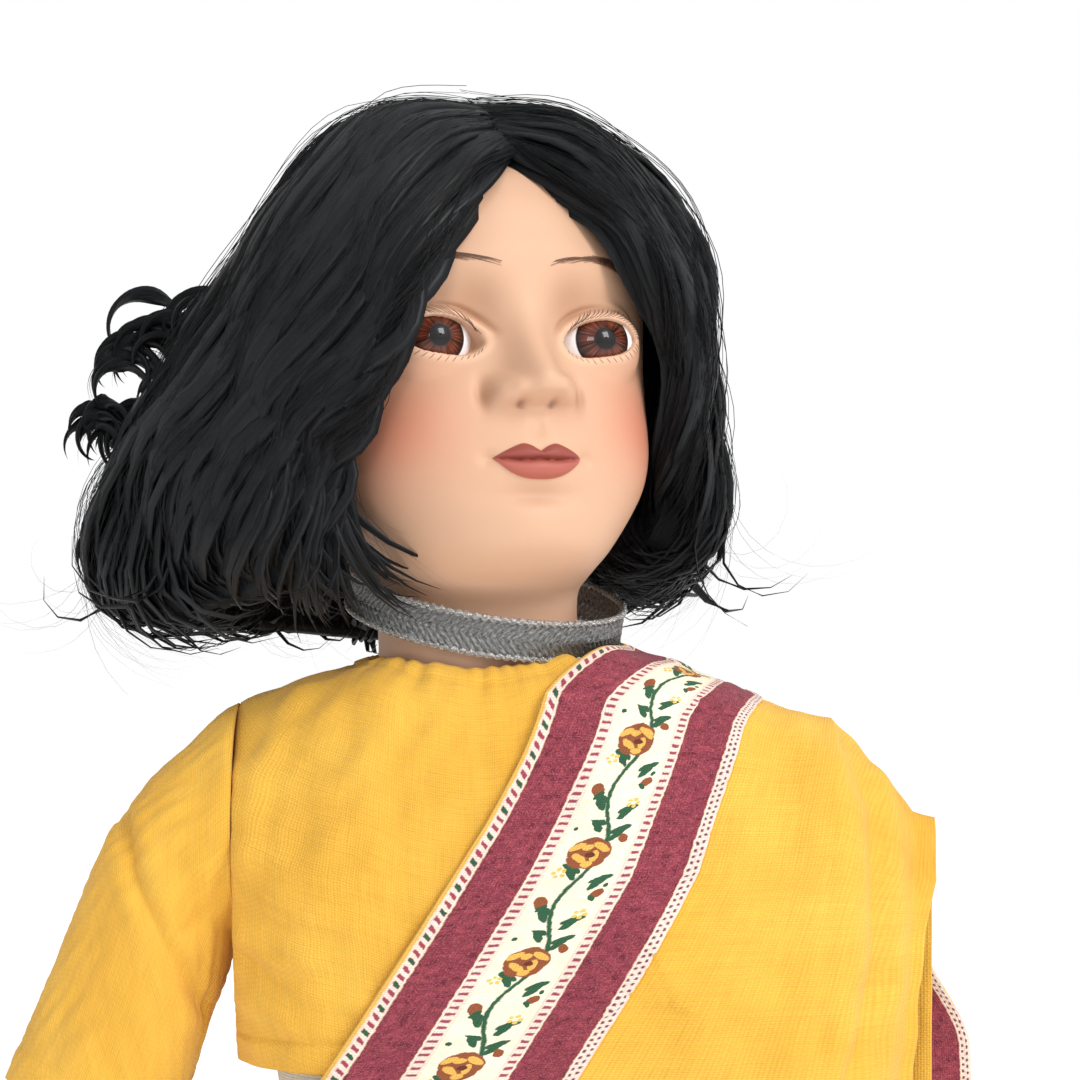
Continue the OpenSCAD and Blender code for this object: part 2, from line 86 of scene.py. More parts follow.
def studio_floor(radius=7.0, rings=24, spokes=72):
    """Rings of points whose radius grows as the square of the ring's number, so the middle is finest."""
    r = radius * (np.arange(1, rings + 1) / rings) ** 2
    a = np.arange(spokes) * 2 * np.pi / spokes
    xyz = np.stack([np.outer(r, np.cos(a)), np.outer(r, np.sin(a)), np.full((rings, spokes), -0.0006)], -1)
    points = np.vstack([[[0, 0, -0.0006]], xyz.reshape(-1, 3)])
    k = np.arange(spokes)
    nxt = (k + 1) % spokes
    faces = [(0, 1 + a0, 1 + b0) for a0, b0 in zip(k, nxt)]
    for ring in range(rings - 1):
        low = 1 + ring * spokes
        faces += list(zip(low + k, low + spokes + k, low + spokes + nxt, low + nxt))
    mesh = bpy.data.meshes.new("studio_floor")
    mesh.from_pydata(points.tolist(), [], [tuple(int(i) for i in f) for f in faces])
    floor = bpy.data.objects.new("studio_floor", mesh)
    bpy.context.collection.objects.link(floor)
    material, tree, shader = new_material("floor_paper")
    where = add(tree, "ShaderNodeTexCoord")
    grain = add(tree, "ShaderNodeTexNoise",
                {"Vector": where.outputs["Object"], "Scale": 9.0, "Detail": 4.0})
    tint = add(tree, "ShaderNodeValToRGB", {"Fac": grain.outputs["Fac"]})
    tint.color_ramp.elements[0].color = (0.95, 0.95, 0.95, 1)
    tint.color_ramp.elements[1].color = (0.985, 0.985, 0.985, 1)
    tree.links.new(tint.outputs["Color"], shader.inputs["Base Color"])
    shader.inputs["Roughness"].default_value = 0.85
    shader.inputs["Emission Color"].default_value = (1, 1, 1, 1)
    shader.inputs["Emission Strength"].default_value = 0.32
    mesh.materials.append(material)


studio_floor()
neck_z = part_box("neck_bolt")[1].z + 0.0065
world = bpy.data.worlds.new("studio_air")
world.use_nodes = True
air = world.node_tree.nodes["Background"]
facing = add(world.node_tree, "ShaderNodeTexCoord").outputs["Generated"]
toward = add(world.node_tree, "ShaderNodeVectorMath", {0: facing, 1: (0.62, -0.18, 0.55)},
             operation="DOT_PRODUCT")
glow = add(world.node_tree, "ShaderNodeMapRange", {"Value": toward.outputs["Value"], "From Min": -0.85,
                                                   "From Max": 0.85, "To Min": 0.46,
                                                   "To Max": 0.98}).outputs[0]
seen = add(world.node_tree, "ShaderNodeLightPath").outputs["Is Camera Ray"]
level = add(world.node_tree, "ShaderNodeMath", {0: glow, 1: seen}, operation="MAXIMUM").outputs[0]
world.node_tree.links.new(level, air.inputs["Strength"])
air.inputs["Color"].default_value = (1.0, 1.0, 1.0, 1)
bpy.context.scene.world = world
soft_light("key_window", (0.62, -0.62, 0.98), (0, 0, neck_z + 0.03), 0.42, 6.6)
soft_light("eye_window_high", (-0.22, -0.95, 0.72), (0, 0, neck_z + 0.06), 0.22, 1.3)
bpy.context.scene.view_settings.view_transform = "Standard"

eye_level = neck_z + 0.0294
camera_data = bpy.data.cameras.new("camera")
camera_data.sensor_width = 36.0
camera_data.lens = 104.0
camera = bpy.data.objects.new("camera", camera_data)
camera.location = (0.0115, -0.600, eye_level)
camera.rotation_euler = (math.radians(90), 0, 0)
bpy.context.collection.objects.link(camera)
bpy.context.scene.camera = camera


# ---------- bisque head ----------
# A hollow casting of matte china: skull, face, neck and the ball that turns in the shoulder plate.
# It is poured in a mould, cut open at the crown and the eyes, fired, then painted by airbrush and brush. Its
# colour here also carries painted shade in the creases of the face and inside the eye openings.

HEAD_TURN = 20
HEAD_TILT = 8
EYE_X = 16.0
EYE_Z = 62.5
EYE_Y = -24.6
EYE_R = 9.0
head_place = (Matrix.Translation((0, 0, neck_z)) @ Matrix.Rotation(math.radians(HEAD_TURN), 4, "Z")
              @ Matrix.Rotation(math.radians(-HEAD_TILT), 4, "X") @ Matrix.Scale(0.001, 4))


def smooth_through(knots, t):
    """Catmull-Rom: a smooth curve through the knots, along their first axis, at t from 0 to count - 1."""
    knots = np.asarray(knots, float)
    last = len(knots) - 1
    i = np.clip(np.floor(t).astype(int), 0, last - 1)
    f = (np.asarray(t) - i).reshape((-1,) + (1,) * (knots.ndim - 1))
    before, here = knots[np.maximum(i - 1, 0)], knots[i]
    there, after = knots[i + 1], knots[np.minimum(i + 2, last)]
    bend = 2 * before - 5 * here + 4 * there - after + f * (3 * (here - there) + after - before)
    return here + 0.5 * f * (there - before + f * bend)


def step(x, low, high):
    """0 below low, 1 above high and a smooth S between them."""
    f = np.clip((x - low) / (high - low), 0, 1)
    return f * f * (3 - 2 * f)


def bell(x, middle, width):
    """exp(-((x - middle) / width)^2), a smooth hump 1 high."""
    return np.exp(-((x - middle) / width) ** 2)


def grid_faces(rows, columns, close_rows=False, close_columns=False):
    """Quads between neighbouring points of a grid, in order, joined round at the ends that are closed."""
    r = np.arange(rows if close_rows else rows - 1)[:, None]
    c = np.arange(columns if close_columns else columns - 1)[None, :]
    up, right = (r + 1) % rows, (c + 1) % columns
    corners = [r * columns + c, r * columns + right, up * columns + right, up * columns + c]
    return np.stack([np.broadcast_to(k, (len(r), c.shape[1])) for k in corners], -1).reshape(-1, 4)


def new_piece(name, points, faces, material=None, uv=None, place=None, smooth=True):
    """A mesh from points and faces, uv given per point; place moves the mesh itself, not the object."""
    points = np.asarray(points, np.float32).reshape(-1, 3)
    faces = np.asarray(faces, np.int32)
    mesh = bpy.data.meshes.new(name)
    mesh.vertices.add(len(points))
    mesh.vertices.foreach_set("co", points.ravel())
    mesh.loops.add(faces.size)
    mesh.loops.foreach_set("vertex_index", faces.ravel())
    mesh.polygons.add(len(faces))
    mesh.polygons.foreach_set("loop_start", np.arange(0, faces.size, faces.shape[1], dtype=np.int32))
    if uv is not None:
        layer = mesh.uv_layers.new(name="cut")
        layer.uv.foreach_set("vector", np.asarray(uv, np.float32).reshape(-1, 2)[faces.ravel()].ravel())
    mesh.update(calc_edges=True)
    mesh.validate()
    mesh.polygons.foreach_set("use_smooth", np.full(len(mesh.polygons), smooth))
    if place is not None:
        mesh.transform(place)
    if material is not None:
        mesh.materials.append(material)
    piece = bpy.data.objects.new(name, mesh)
    bpy.context.collection.objects.link(piece)
    return piece


def keep_measure(piece, name, values):
    """A number kept at each point of the mesh, for its material to read."""
    layer = piece.data.attributes.new(name, "FLOAT", "POINT")
    layer.data.foreach_set("value", np.asarray(values, np.float32).ravel())


def eye_outline(count=160):
    """The cut edge of the left eye as (x, z): a raised arc above and a flatter one below its centre line."""
    u = np.cos(np.linspace(0, 2 * np.pi, count, endpoint=False))
    upper = np.arange(count) < count // 2
    rise = np.where(upper, 4.15 * (1 - np.abs(u) ** 2.3) ** 0.62, -3.05 * (1 - np.abs(u) ** 2.8) ** 0.7)
    x = 15.5 + 7.7 * u
    return np.stack([x, 62.4 + 0.11 * (x - 15.5) + rise], -1)


def from_eye_edge(x, z):
    """Distance to the eye's cut edge, negative inside it, the same on both sides of the face."""
    edge = eye_outline()
    ax = np.abs(x)
    away = np.full(x.shape, 6.0)
    near = (np.abs(z - 62.5) < 9) & (ax < 30)
    gaps = np.hypot(ax[near][:, None] - edge[:, 0], z[near][:, None] - edge[:, 1])
    away[near] = np.minimum(gaps.min(1), 6.0)
    u = np.clip(np.abs(ax - 15.5) / 7.7, 0, 1)
    height = z - (62.4 + 0.11 * (ax - 15.5))
    top = 4.15 * (1 - u ** 2.3) ** 0.62
    low = -3.05 * (1 - u ** 2.8) ** 0.7
    inside = (height < top) & (height > low) & (np.abs(ax - 15.5) < 7.7)
    return np.where(inside, -away, away)


def lip_lines(x):
    """Heights of the lips' top edge, the line between them and their lower edge, across the mouth."""
    ax = np.abs(x)
    bow = np.where(ax < 3.3, 40.5 + 1.45 * np.sin(np.pi / 2 * np.clip(ax / 3.3, 0, 1)),
                   41.95 - 2.5 * (np.clip(ax - 3.3, 0, None) / 5.4) ** 1.25)
    middle = 38.9 + 0.5 * (ax / 8.7) ** 2 + 0.25 * bell(x, 0, 1.6)
    lower = 35.3 + 4.1 * (np.clip(ax, 0, 8.7) / 8.7) ** 2.6
    return bow, middle, lower


def face_relief(x, z):
    """How far the modelled features stand out of the plain face: sums of smooth humps and grooves."""
    ax = np.abs(x)
    nose = smooth_through([[0.0], [0.2], [1.6], [4.2], [8.2], [10.9], [11.6], [10.4], [6.4], [2.2], [0.6],
                           [0.0]],
                          np.interp(-z, [-78, -74, -68, -64, -59, -55, -53, -51.2, -49.9, -49, -47, -44],
                                    np.arange(12)).ravel())[:, 0].reshape(x.shape)
    half = np.interp(z, [46, 50, 54, 60, 70, 78], [4.2, 4.6, 4.9, 3.9, 4.4, 7.0])
    out = 0.70 * nose * np.exp(-(np.abs(x - 0.5 * bell(z, 53, 6)) / half) ** 2.3)
    out += 1.1 * np.exp(-((x - 0.5) / 3.9) ** 2 - ((z - 54.2) / 3.3) ** 2)
    out += 3.6 * np.exp(-(((ax - 5.8) / 2.9) ** 2 + ((z - 51.9) / 2.9) ** 2) ** 1.4)
    out -= 1.5 * np.exp(-((ax - 3.0) / 0.95) ** 2 - ((z - 49.5) / 0.7) ** 2)
    out -= 1.2 * bell(ax, 9.4, 1.2) * bell(z, 51.6, 2.8)
    out -= 1.5 * bell(ax, 15.5, 9) * bell(z, 66, 7) + 1.5 * bell(ax, 9.0, 3.6) * bell(z, 67, 6)
    out += 0.7 * bell(ax, 16, 10) * bell(z, 77, 4)
    out -= 0.55 * bell(x, 0, 1.3) * bell(z, 44.8, 2.6)
    out += 1.9 * bell(x, 0, 10.5) * bell(z, 41, 6.5) + 1.3 * bell(ax, 20, 9) * bell(z, 46, 9)
    bow, middle, lower = lip_lines(x)
    span = np.clip(1 - (ax / 9.0) ** 2.5, 0, 1)
    upper_lip = np.clip((bow - z) / np.maximum(bow - middle, 0.1), 0, 1) * (z > middle)
    lower_lip = np.clip((z - lower) / np.maximum(middle - lower, 0.1), 0, 1) * (z <= middle)
    out += 1.15 * span * np.sin(np.pi * np.clip(upper_lip * 0.72, 0, 1)) ** 0.9
    out += 1.55 * span * np.sin(np.pi * np.clip(lower_lip, 0, 1) ** 0.8) ** 0.8
    out -= 0.95 * bell(z, middle, 0.42) * np.clip(1 - (ax / 9.6) ** 4, 0, 1)
    out -= 0.9 * bell(ax, 9.5, 1.5) * bell(z, 39.4, 1.5)
    out -= 1.3 * bell(x, 0, 7) * bell(z, 32.9, 1.9)
    out += 1.5 * bell(x, 0, 8) * bell(z, 27.0, 4.6)
    return out


def head_surface():
    """Rings down the head, each a rounded oval with its own front, side and back height; the face's
    features are pushed out of the front, and the same rings, 3 mm in, make the inside of the casting."""
    rings = [  # front z, side z, back z, half width, front depth, back depth
        (102.2, 102.2, 101.8, 8, 11, 9), (100.6, 100.6, 100, 14.5, 19, 15), (96.5, 96, 95, 23, 28.2, 22.5),
        (90, 88, 87, 29.2, 33.8, 28.5), (82, 79, 78, 32.6, 36.3, 32), (76, 71, 70, 33.6, 37, 33),
        (70, 65, 63, 33.5, 36.5, 32.5), (63, 58, 56, 33.2, 36, 31), (56, 52, 50, 33.2, 36.2, 29),
        (49, 46, 44, 33.2, 37.2, 26.5), (43, 41, 38, 32.6, 38, 24), (38, 36.5, 33, 31.2, 38.2, 21.5),
        (33, 32.5, 29, 28.9, 37.8, 20), (28, 28.5, 26, 26, 37.2, 19.3), (23.5, 25, 23, 23.2, 35.6, 19),
        (20.2, 22.5, 21, 21.0, 31.5, 18.8), (18, 20.6, 19.5, 19.8, 26, 18.8),
        (16, 19, 18, 19.1, 21.5, 18.8),
        (13.5, 16, 16, 18.9, 19.4, 18.8), (9, 10, 10, 18.8, 18.8, 18.8), (3, 3, 3, 19.1, 19.1, 19.1),
        (-3, -3, -3, 19.2, 19.2, 19.2), (-10, -10, -10, 16.7, 16.7, 16.7),
        (-15, -15, -15, 12.4, 12.4, 12.4),
        (-18.1, -18.1, -18.1, 7.2, 7.2, 7.2)]
    per_ring = [3, 4, 6, 9, 10, 16, 26, 24, 20, 20, 20, 18, 10, 8, 7, 6, 5, 4, 3, 3, 3, 3, 3, 3]
    t = np.concatenate([i + np.arange(n) / n for i, n in enumerate(per_ring)] + [[len(per_ring)]])
    side = np.concatenate([np.linspace(0, 0.14, 13)[:-1], np.linspace(0.14, 0.80, 78)[:-1],
                           np.linspace(0.80, np.pi / 2, 30)[:-1], np.linspace(np.pi / 2, np.pi, 26)])
    phi = np.concatenate([side, -side[-2:0:-1]])
    power = 2 / 2.25

    def ovals(values):
        """Rounded ovals, one per row of values: heights at front, side and back, half width, depths."""
        front, across, back, a, f, b = [values[:, k, None] for k in range(6)]
        s, c = np.sin(phi)[None], np.cos(phi)[None]
        x = a * np.sign(s) * np.abs(s) ** power
        y = -np.where(c > 0, f, b) * np.sign(c) * np.abs(c) ** power
        z = across + (front - across) * np.clip(c, 0, 1) ** 2 + (back - across) * np.clip(-c, 0, 1) ** 2
        return x, y, z

    x, y, z = ovals(smooth_through(rings, t))
    facing = step(np.cos(phi), 0.05, 0.45)[None]
    plain = -y
    raised = plain + face_relief(x, z) * facing
    room = (EYE_R + 0.95) ** 2 - (np.abs(x) - EYE_X) ** 2 - (z - EYE_Z) ** 2
    lid = np.where((room > 0) & (facing > 0), -EYE_Y + np.sqrt(np.maximum(room, 0)), -99.0)
    blend = 2.2
    lapped = np.maximum(raised, lid) + blend * np.clip(1 - np.abs(raised - lid) / blend, 0, 1) ** 2 / 4
    edge = np.where(facing > 0, from_eye_edge(x, z), 6.0)
    upper = step(z, EYE_Z - 0.5, EYE_Z + 2.0)
    lapped += (0.55 * upper + 0.25) * bell(edge, 0.85, 0.8) * (edge > 0) * facing
    lapped -= 0.75 * upper * bell(edge, 2.35, 0.55) * facing
    lapped -= 3.6 * step(-edge, -0.05, 0.62) * facing
    outer = np.stack([x, -lapped, z], -1)
    inner_rings = np.array(rings)[3:, :] * 1.0
    inner_rings[:, 3:] -= np.array([3.2, 5.2, 3.2])
    inner_rings[-1] = (-16.4, -16.4, -16.4, 6.8, 6.8, 6.8)
    u, v, w = ovals(smooth_through(inner_rings, np.linspace(len(inner_rings) - 1, 0, 46)))
    inner = np.stack([u, v, w], -1)
    points = np.concatenate([outer, inner])
    return points, x, z, edge, facing


def bisque_material():
    """Matte skin tint, airbrushed blush, airbrushed brown round the eye sockets together with painted shade
    in the face's creases and eye openings, brush-painted lips, paler lid edges.
    """
    material, tree, shader = new_material("bisque")
    read = lambda name: add(tree, "ShaderNodeAttribute", attribute_name=name).outputs["Fac"]

    def band(value, low, high):
        """A soft rise from 0 at low to 1 at high."""
        return add(tree, "ShaderNodeMapRange", {"Value": value, "From Min": low, "From Max": high},
                   interpolation_type="SMOOTHSTEP").outputs["Result"]

    def tint(below, above, amount):
        """Above laid over below by amount; each is a colour or a socket."""
        made = add(tree, "ShaderNodeMix", {"Factor": amount}, data_type="RGBA")
        for socket, value in (("A", below), ("B", above)):
            target = [k for k in made.inputs if k.name == socket and k.type == "RGBA"][0]
            if isinstance(value, tuple):
                target.default_value = (*value, 1)
            else:
                tree.links.new(value, target)
        return [k for k in made.outputs if k.type == "RGBA"][0]

    where = add(tree, "ShaderNodeTexCoord").outputs["Object"]
    cloud = add(tree, "ShaderNodeTexNoise", {"Vector": where, "Scale": 60.0, "Detail": 3.0}).outputs["Fac"]
    tooth = add(tree, "ShaderNodeTexNoise",
                {"Vector": where, "Scale": 2600.0, "Detail": 2.0}).outputs["Fac"]
    skin = tint((0.63, 0.385, 0.252), (0.59, 0.35, 0.225), cloud)
    # painted shade: the shade measure darkens the skin round the eye sockets, partly the doll's airbrushed
    # brown, and in the lid creases, beside the nose wings, under the nose and lower lip and inside the eye
    # openings
    skin = tint(skin, (0.33, 0.155, 0.082), read("shade"))
    soft_blush = add(tree, "ShaderNodeMath", {0: read("blush"), 1: add(
        tree, "ShaderNodeMapRange", {"Value": cloud, "To Min": 0.75, "To Max": 1.0}).outputs[0]},
        operation="MULTIPLY")
    skin = tint(skin, (0.58, 0.17, 0.10), soft_blush.outputs[0])
    skin = tint(skin, (0.74, 0.46, 0.31), add(tree, "ShaderNodeMath", {0: read("lid_rim"), 1: 0.8},
                                            operation="MULTIPLY").outputs[0])
    lips = tint((0.41, 0.108, 0.078), (0.28, 0.062, 0.046), band(read("above_mouth"), -0.12, 0.12))
    skin = tint(skin, lips, band(read("lip_edge"), -0.05, 0.16))
    skin = tint(skin, (0.16, 0.055, 0.04), read("nostril"))
    tree.links.new(skin, shader.inputs["Base Color"])
    shader.inputs["Roughness"].default_value = 0.52
    shader.inputs["Specular IOR Level"].default_value = 0.35
    shader.inputs["Subsurface Weight"].default_value = 0.08
    shader.inputs["Subsurface Radius"].default_value = (0.004, 0.0018, 0.001)
    bump = add(tree, "ShaderNodeBump", {"Height": tooth, "Strength": 0.05, "Distance": 0.0002})
    tree.links.new(bump.outputs[0], shader.inputs["Normal"])
    return material


bisque = bisque_material()
points, hx, hz, eye_edge, facing = head_surface()
rows, columns = points.shape[:2]
head = new_piece("bisque_head", points, grid_faces(rows, columns, close_rows=True, close_columns=True),
                 bisque)
inside_rows = np.zeros((rows - hx.shape[0], columns))
bow, mouth, lower = lip_lines(hx)
to_lip = np.minimum(np.minimum(bow - hz, hz - lower), (8.7 - np.abs(hx)) * 0.5)
# shade: airbrushed brown round the eye sockets, together with painted shade in the lid crease, beside the
# nose wings, under the nose and the lower lip, and inside the eye openings
shade = 0.38 * bell(np.abs(hx), 9.5, 4.5) * bell(hz, 69, 6) + 0.20 * bell(np.abs(hx), 17, 9) * bell(hz,
                                                                                                    70.5,
                                                                                                    3.2)
shade += 0.30 * bell(eye_edge, 2.35, 0.5) * step(hz, 62, 66) + 0.20 * bell(np.abs(hx), 5.2, 4) * bell(hz,
                                                                                                      47.6,
                                                                                                      1.8)
shade += 0.55 * bell(np.abs(hx), 9.0, 1.4) * bell(hz, 50.8, 2.3)
shade += 0.25 * bell(hx, 0, 6) * bell(hz, 33, 1.8) + 0.45 * step(-eye_edge, 0.25, 0.6)
measures = {
    "lip_edge": np.where(facing > 0.3, to_lip, -2.0),
    "above_mouth": hz - mouth,
    "blush": 0.80 * bell(np.abs(hx), 25.5, 10.5) * bell(hz, 46.5, 10.5) * facing,
    "shade": shade * facing,
    "lid_rim": bell(eye_edge, 0.75, 0.8) * step(eye_edge, -0.4, 0.2) * facing,
    "nostril": 0.60 * bell(np.abs(hx), 3.0, 0.8) * bell(hz, 49.5, 0.5) * facing}
for name, values in measures.items():
    keep_measure(head, name, np.concatenate([values, inside_rows]))


# ---------- painted brows and lashes ----------
# Single brush strokes of thinned brown paint, laid on the fired bisque before its last firing.
# Each is a long thin leaf of paint, pressed onto the surface of the face.

def paint_strokes(name, starts, ends, lifts, widths, color, strength, parts=8):
    """Each stroke is a parabola from start to end, lifted at its middle; its width swells and tapers."""
    t = np.linspace(0, 1, parts + 1)[None, :, None]
    start, end = np.asarray(starts, float)[:, None], np.asarray(ends, float)[:, None]
    lift = np.asarray(lifts, float)[:, None, None] * 4 * t * (1 - t)
    along = end - start
    across = np.stack([-along[..., 1], along[..., 0]], -1) / np.linalg.norm(along, axis=-1, keepdims=True)
    middle = start + along * t + across * lift
    half = np.asarray(widths, float)[:, None, None] / 2 * (0.15 + np.sin(np.pi * (0.12 + 0.86 * t)) ** 0.8)
    both = np.stack([middle - across * half, middle + across * half], 2)
    count = len(start)
    points = np.concatenate([both[..., :1], np.full(both[..., :1].shape, -70.0), both[..., 1:]], -1)
    faces = grid_faces(parts + 1, 2)
    faces = (faces[None] + np.arange(count)[:, None, None] * 2 * (parts + 1)).reshape(-1, 4)
    material, tree, shader = new_material(name + "_paint")
    where = add(tree, "ShaderNodeTexCoord").outputs["Object"]
    dry = add(tree, "ShaderNodeTexNoise", {"Vector": where, "Scale": 1500.0, "Detail": 2.0}).outputs["Fac"]
    cover = add(tree, "ShaderNodeMapRange", {"Value": dry, "From Min": 0.3, "From Max": 0.7,
                                             "To Min": strength * 0.7, "To Max": strength})
    tree.links.new(cover.outputs[0], shader.inputs["Alpha"])
    shade = add(tree, "ShaderNodeMix", {"Factor": dry}, data_type="RGBA")
    shade.inputs[6].default_value = (*color, 1)
    shade.inputs[7].default_value = (*[k * 0.7 for k in color], 1)
    tree.links.new(shade.outputs[2], shader.inputs["Base Color"])
    shader.inputs["Roughness"].default_value = 0.6
    piece = new_piece(name, points, faces, material)
    press = piece.modifiers.new("press", "SHRINKWRAP")
    press.target = head
    press.wrap_method = "PROJECT"
    press.use_project_x, press.use_project_y, press.use_project_z = False, True, False
    press.use_positive_direction, press.use_negative_direction = True, True
    press.offset = 0.05
    bpy.context.view_layer.update()
    pressed = bpy.data.meshes.new_from_object(piece.evaluated_get(bpy.context.evaluated_depsgraph_get()))
    piece.modifiers.clear()
    piece.data = pressed
    return piece


rng = np.random.default_rng(7)
brow_line = [(4.6, 76.0), (10, 77.1), (16, 77.9), (22, 77.2), (27.5, 73.6)]
brow_starts, brow_ends, brow_lifts, brow_widths = [], [], [], []
for side in (-1, 1):
    for k in range(30):
        s0 = rng.uniform(0.0, 2.3)
        s1 = min(s0 + rng.uniform(1.2, 1.9), 4.0)
        a, b = smooth_through(brow_line, np.array([s0, s1]))
        off = rng.uniform(-0.75, 0.75, 2) * (0.75 if s0 < 1 else 1.0)
        brow_starts.append((side * a[0], a[1] + off[0]))
        brow_ends.append((side * b[0], b[1] + off[1] * 0.4))
        brow_lifts.append(-side * rng.uniform(-0.5, -0.2))
        brow_widths.append(rng.uniform(0.16, 0.30) if s0 < 1 else rng.uniform(0.35, 0.75))
brows = paint_strokes("painted_brows", brow_starts, brow_ends, brow_lifts, brow_widths, (0.20, 0.095, 0.05),
                      0.46)

edge = eye_outline(240)
lash_starts, lash_ends, lash_lifts, lash_widths = [], [], [], []
for side in (-1, 1):
    for k in range(25):
        f = k / 24
        base = edge[int(round(106 - 106 * f)) % 240]
        lean = math.radians(58 - 50 * f + rng.uniform(-5, 5))
        length = 2.0 + 1.7 * math.sin(math.pi * (0.25 + 0.6 * f)) + rng.uniform(-0.3, 0.3)
        x, z = base[0], base[1] + 0.35
        lash_starts.append((side * x, z))
        lash_ends.append((side * (x + length * math.cos(lean)), z + length * math.sin(lean)))
        lash_lifts.append(-side * 0.25)
        lash_widths.append(0.17)
    for k in range(15):
        f = k / 14
        base = edge[int(round(134 + 98 * f)) % 240]
        lean = math.radians(-62 + 38 * f + rng.uniform(-6, 6))
        length = 0.9 + 0.8 * f + rng.uniform(-0.15, 0.15)
        x, z = base[0], base[1] - 0.35
        lash_starts.append((side * x, z))
        lash_ends.append((side * (x + length * math.cos(lean)), z + length * math.sin(lean)))
        lash_lifts.append(0.0)
        lash_widths.append(0.13)
lashes = paint_strokes("painted_lashes", lash_starts, lash_ends, lash_lifts, lash_widths,
                       (0.13, 0.06, 0.04), 0.75)

for piece in (head, brows, lashes):
    piece.data.transform(head_place)
    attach(piece, "head")
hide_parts("head")


# ---------- glass eyes ----------
# Blown glass balls, white outside, with a brown iris rod melted in behind a clear raised cornea.
# They are set in plaster from inside the head, so they don't turn.

def eye_material():
    """White glass; an iris with radial streaks between a dark outer ring and the black pupil; clear gloss."""
    material, tree, shader = new_material("eye_glass")
    plane = add(tree, "ShaderNodeUVMap", uv_map="cut").outputs["UV"]
    centred = add(tree, "ShaderNodeVectorMath", {0: plane, 1: (0.5, 0.5, 0.0)},
                  operation="SUBTRACT").outputs[0]
    size = add(tree, "ShaderNodeVectorMath", {0: centred}, operation="LENGTH").outputs["Value"]
    way = add(tree, "ShaderNodeVectorMath", {0: centred}, operation="NORMALIZE").outputs[0]
    radius = add(tree, "ShaderNodeMath", {0: size, 1: 12.0}, operation="MULTIPLY").outputs[0]
    spokes = add(tree, "ShaderNodeTexNoise", {"Vector": way, "Scale": 11.0, "Detail": 3.0}).outputs["Fac"]
    streak = add(tree, "ShaderNodeValToRGB", {"Fac": spokes})
    streak.color_ramp.elements[0].position = 0.36
    streak.color_ramp.elements[0].color = (0.020, 0.006, 0.004, 1)
    streak.color_ramp.elements[1].position = 0.62
    streak.color_ramp.elements[1].color = (0.20, 0.045, 0.022, 1)
    ramp = add(tree, "ShaderNodeMapRange", {"Value": radius, "From Min": 0.0, "From Max": 6.55})
    zones = add(tree, "ShaderNodeValToRGB", {"Fac": ramp.outputs[0]})
    zones.color_ramp.elements[0].position = 0.30
    zones.color_ramp.elements[0].color = (0.0, 0.0, 0.0, 1)
    for place, value in ((0.34, 0.55), (0.52, 1.0), (0.68, 0.45), (0.775, 0.05)):
        zones.color_ramp.elements.new(place).color = (value, value, value, 1)
    zones.color_ramp.elements[-1].position = 1.0
    zones.color_ramp.elements[-1].color = (0.02, 0.02, 0.02, 1)
    iris = add(tree, "ShaderNodeMix", {"Factor": zones.outputs[0]}, data_type="RGBA")
    iris.inputs[6].default_value = (0.006, 0.004, 0.004, 1)
    tree.links.new(streak.outputs[0], iris.inputs[7])
    white = add(tree, "ShaderNodeMapRange", {"Value": radius, "From Min": 5.15, "From Max": 5.38},
                interpolation_type="SMOOTHSTEP").outputs[0]
    ball = add(tree, "ShaderNodeMix", {"Factor": white}, data_type="RGBA")
    tree.links.new(iris.outputs[2], ball.inputs[6])
    ball.inputs[7].default_value = (0.90, 0.91, 0.93, 1)
    tree.links.new(ball.outputs[2], shader.inputs["Base Color"])
    shader.inputs["Roughness"].default_value = 0.35
    shader.inputs["Coat Weight"].default_value = 0.55
    shader.inputs["Specular IOR Level"].default_value = 0.12
    shader.inputs["Coat Roughness"].default_value = 0.02
    shader.inputs["Coat IOR"].default_value = 1.52
    return material


def eye_ball(side, rings=56, spokes=72):
    """Rings about the forward axis; the radius grows by 0.6 mm towards the middle of the iris."""
    polar = np.pi * (np.arange(rings + 1) / rings) ** 1.35
    around = np.arange(spokes) * 2 * np.pi / spokes
    bulge = 0.6 * np.where(polar < 0.56, 0.5 + 0.5 * np.cos(np.pi * polar / 0.56), 0.0)
    r = (EYE_R + bulge)[:, None]
    x = r * np.sin(polar)[:, None] * np.cos(around)[None]
    z = r * np.sin(polar)[:, None] * np.sin(around)[None]
    y = -r * np.cos(polar)[:, None] * np.ones(spokes)[None]
    turned = x + side * 0.25
    points = np.stack([turned + side * EYE_X, y + EYE_Y, z + EYE_Z + 0.4], -1)
    flat = np.where(polar[:, None] < 1.3, 1.0, 3.0)
    uv = np.stack([x * flat / 12 + 0.5, z * flat / 12 + 0.5], -1)
    points, uv = points[1:-1], uv[1:-1]
    tips = np.array([[side * (EYE_X + 0.25), EYE_Y - EYE_R - 0.6, EYE_Z + 0.4],
                     [side * (EYE_X + 0.25), EYE_Y + EYE_R, EYE_Z + 0.4]])
    return points, uv, tips


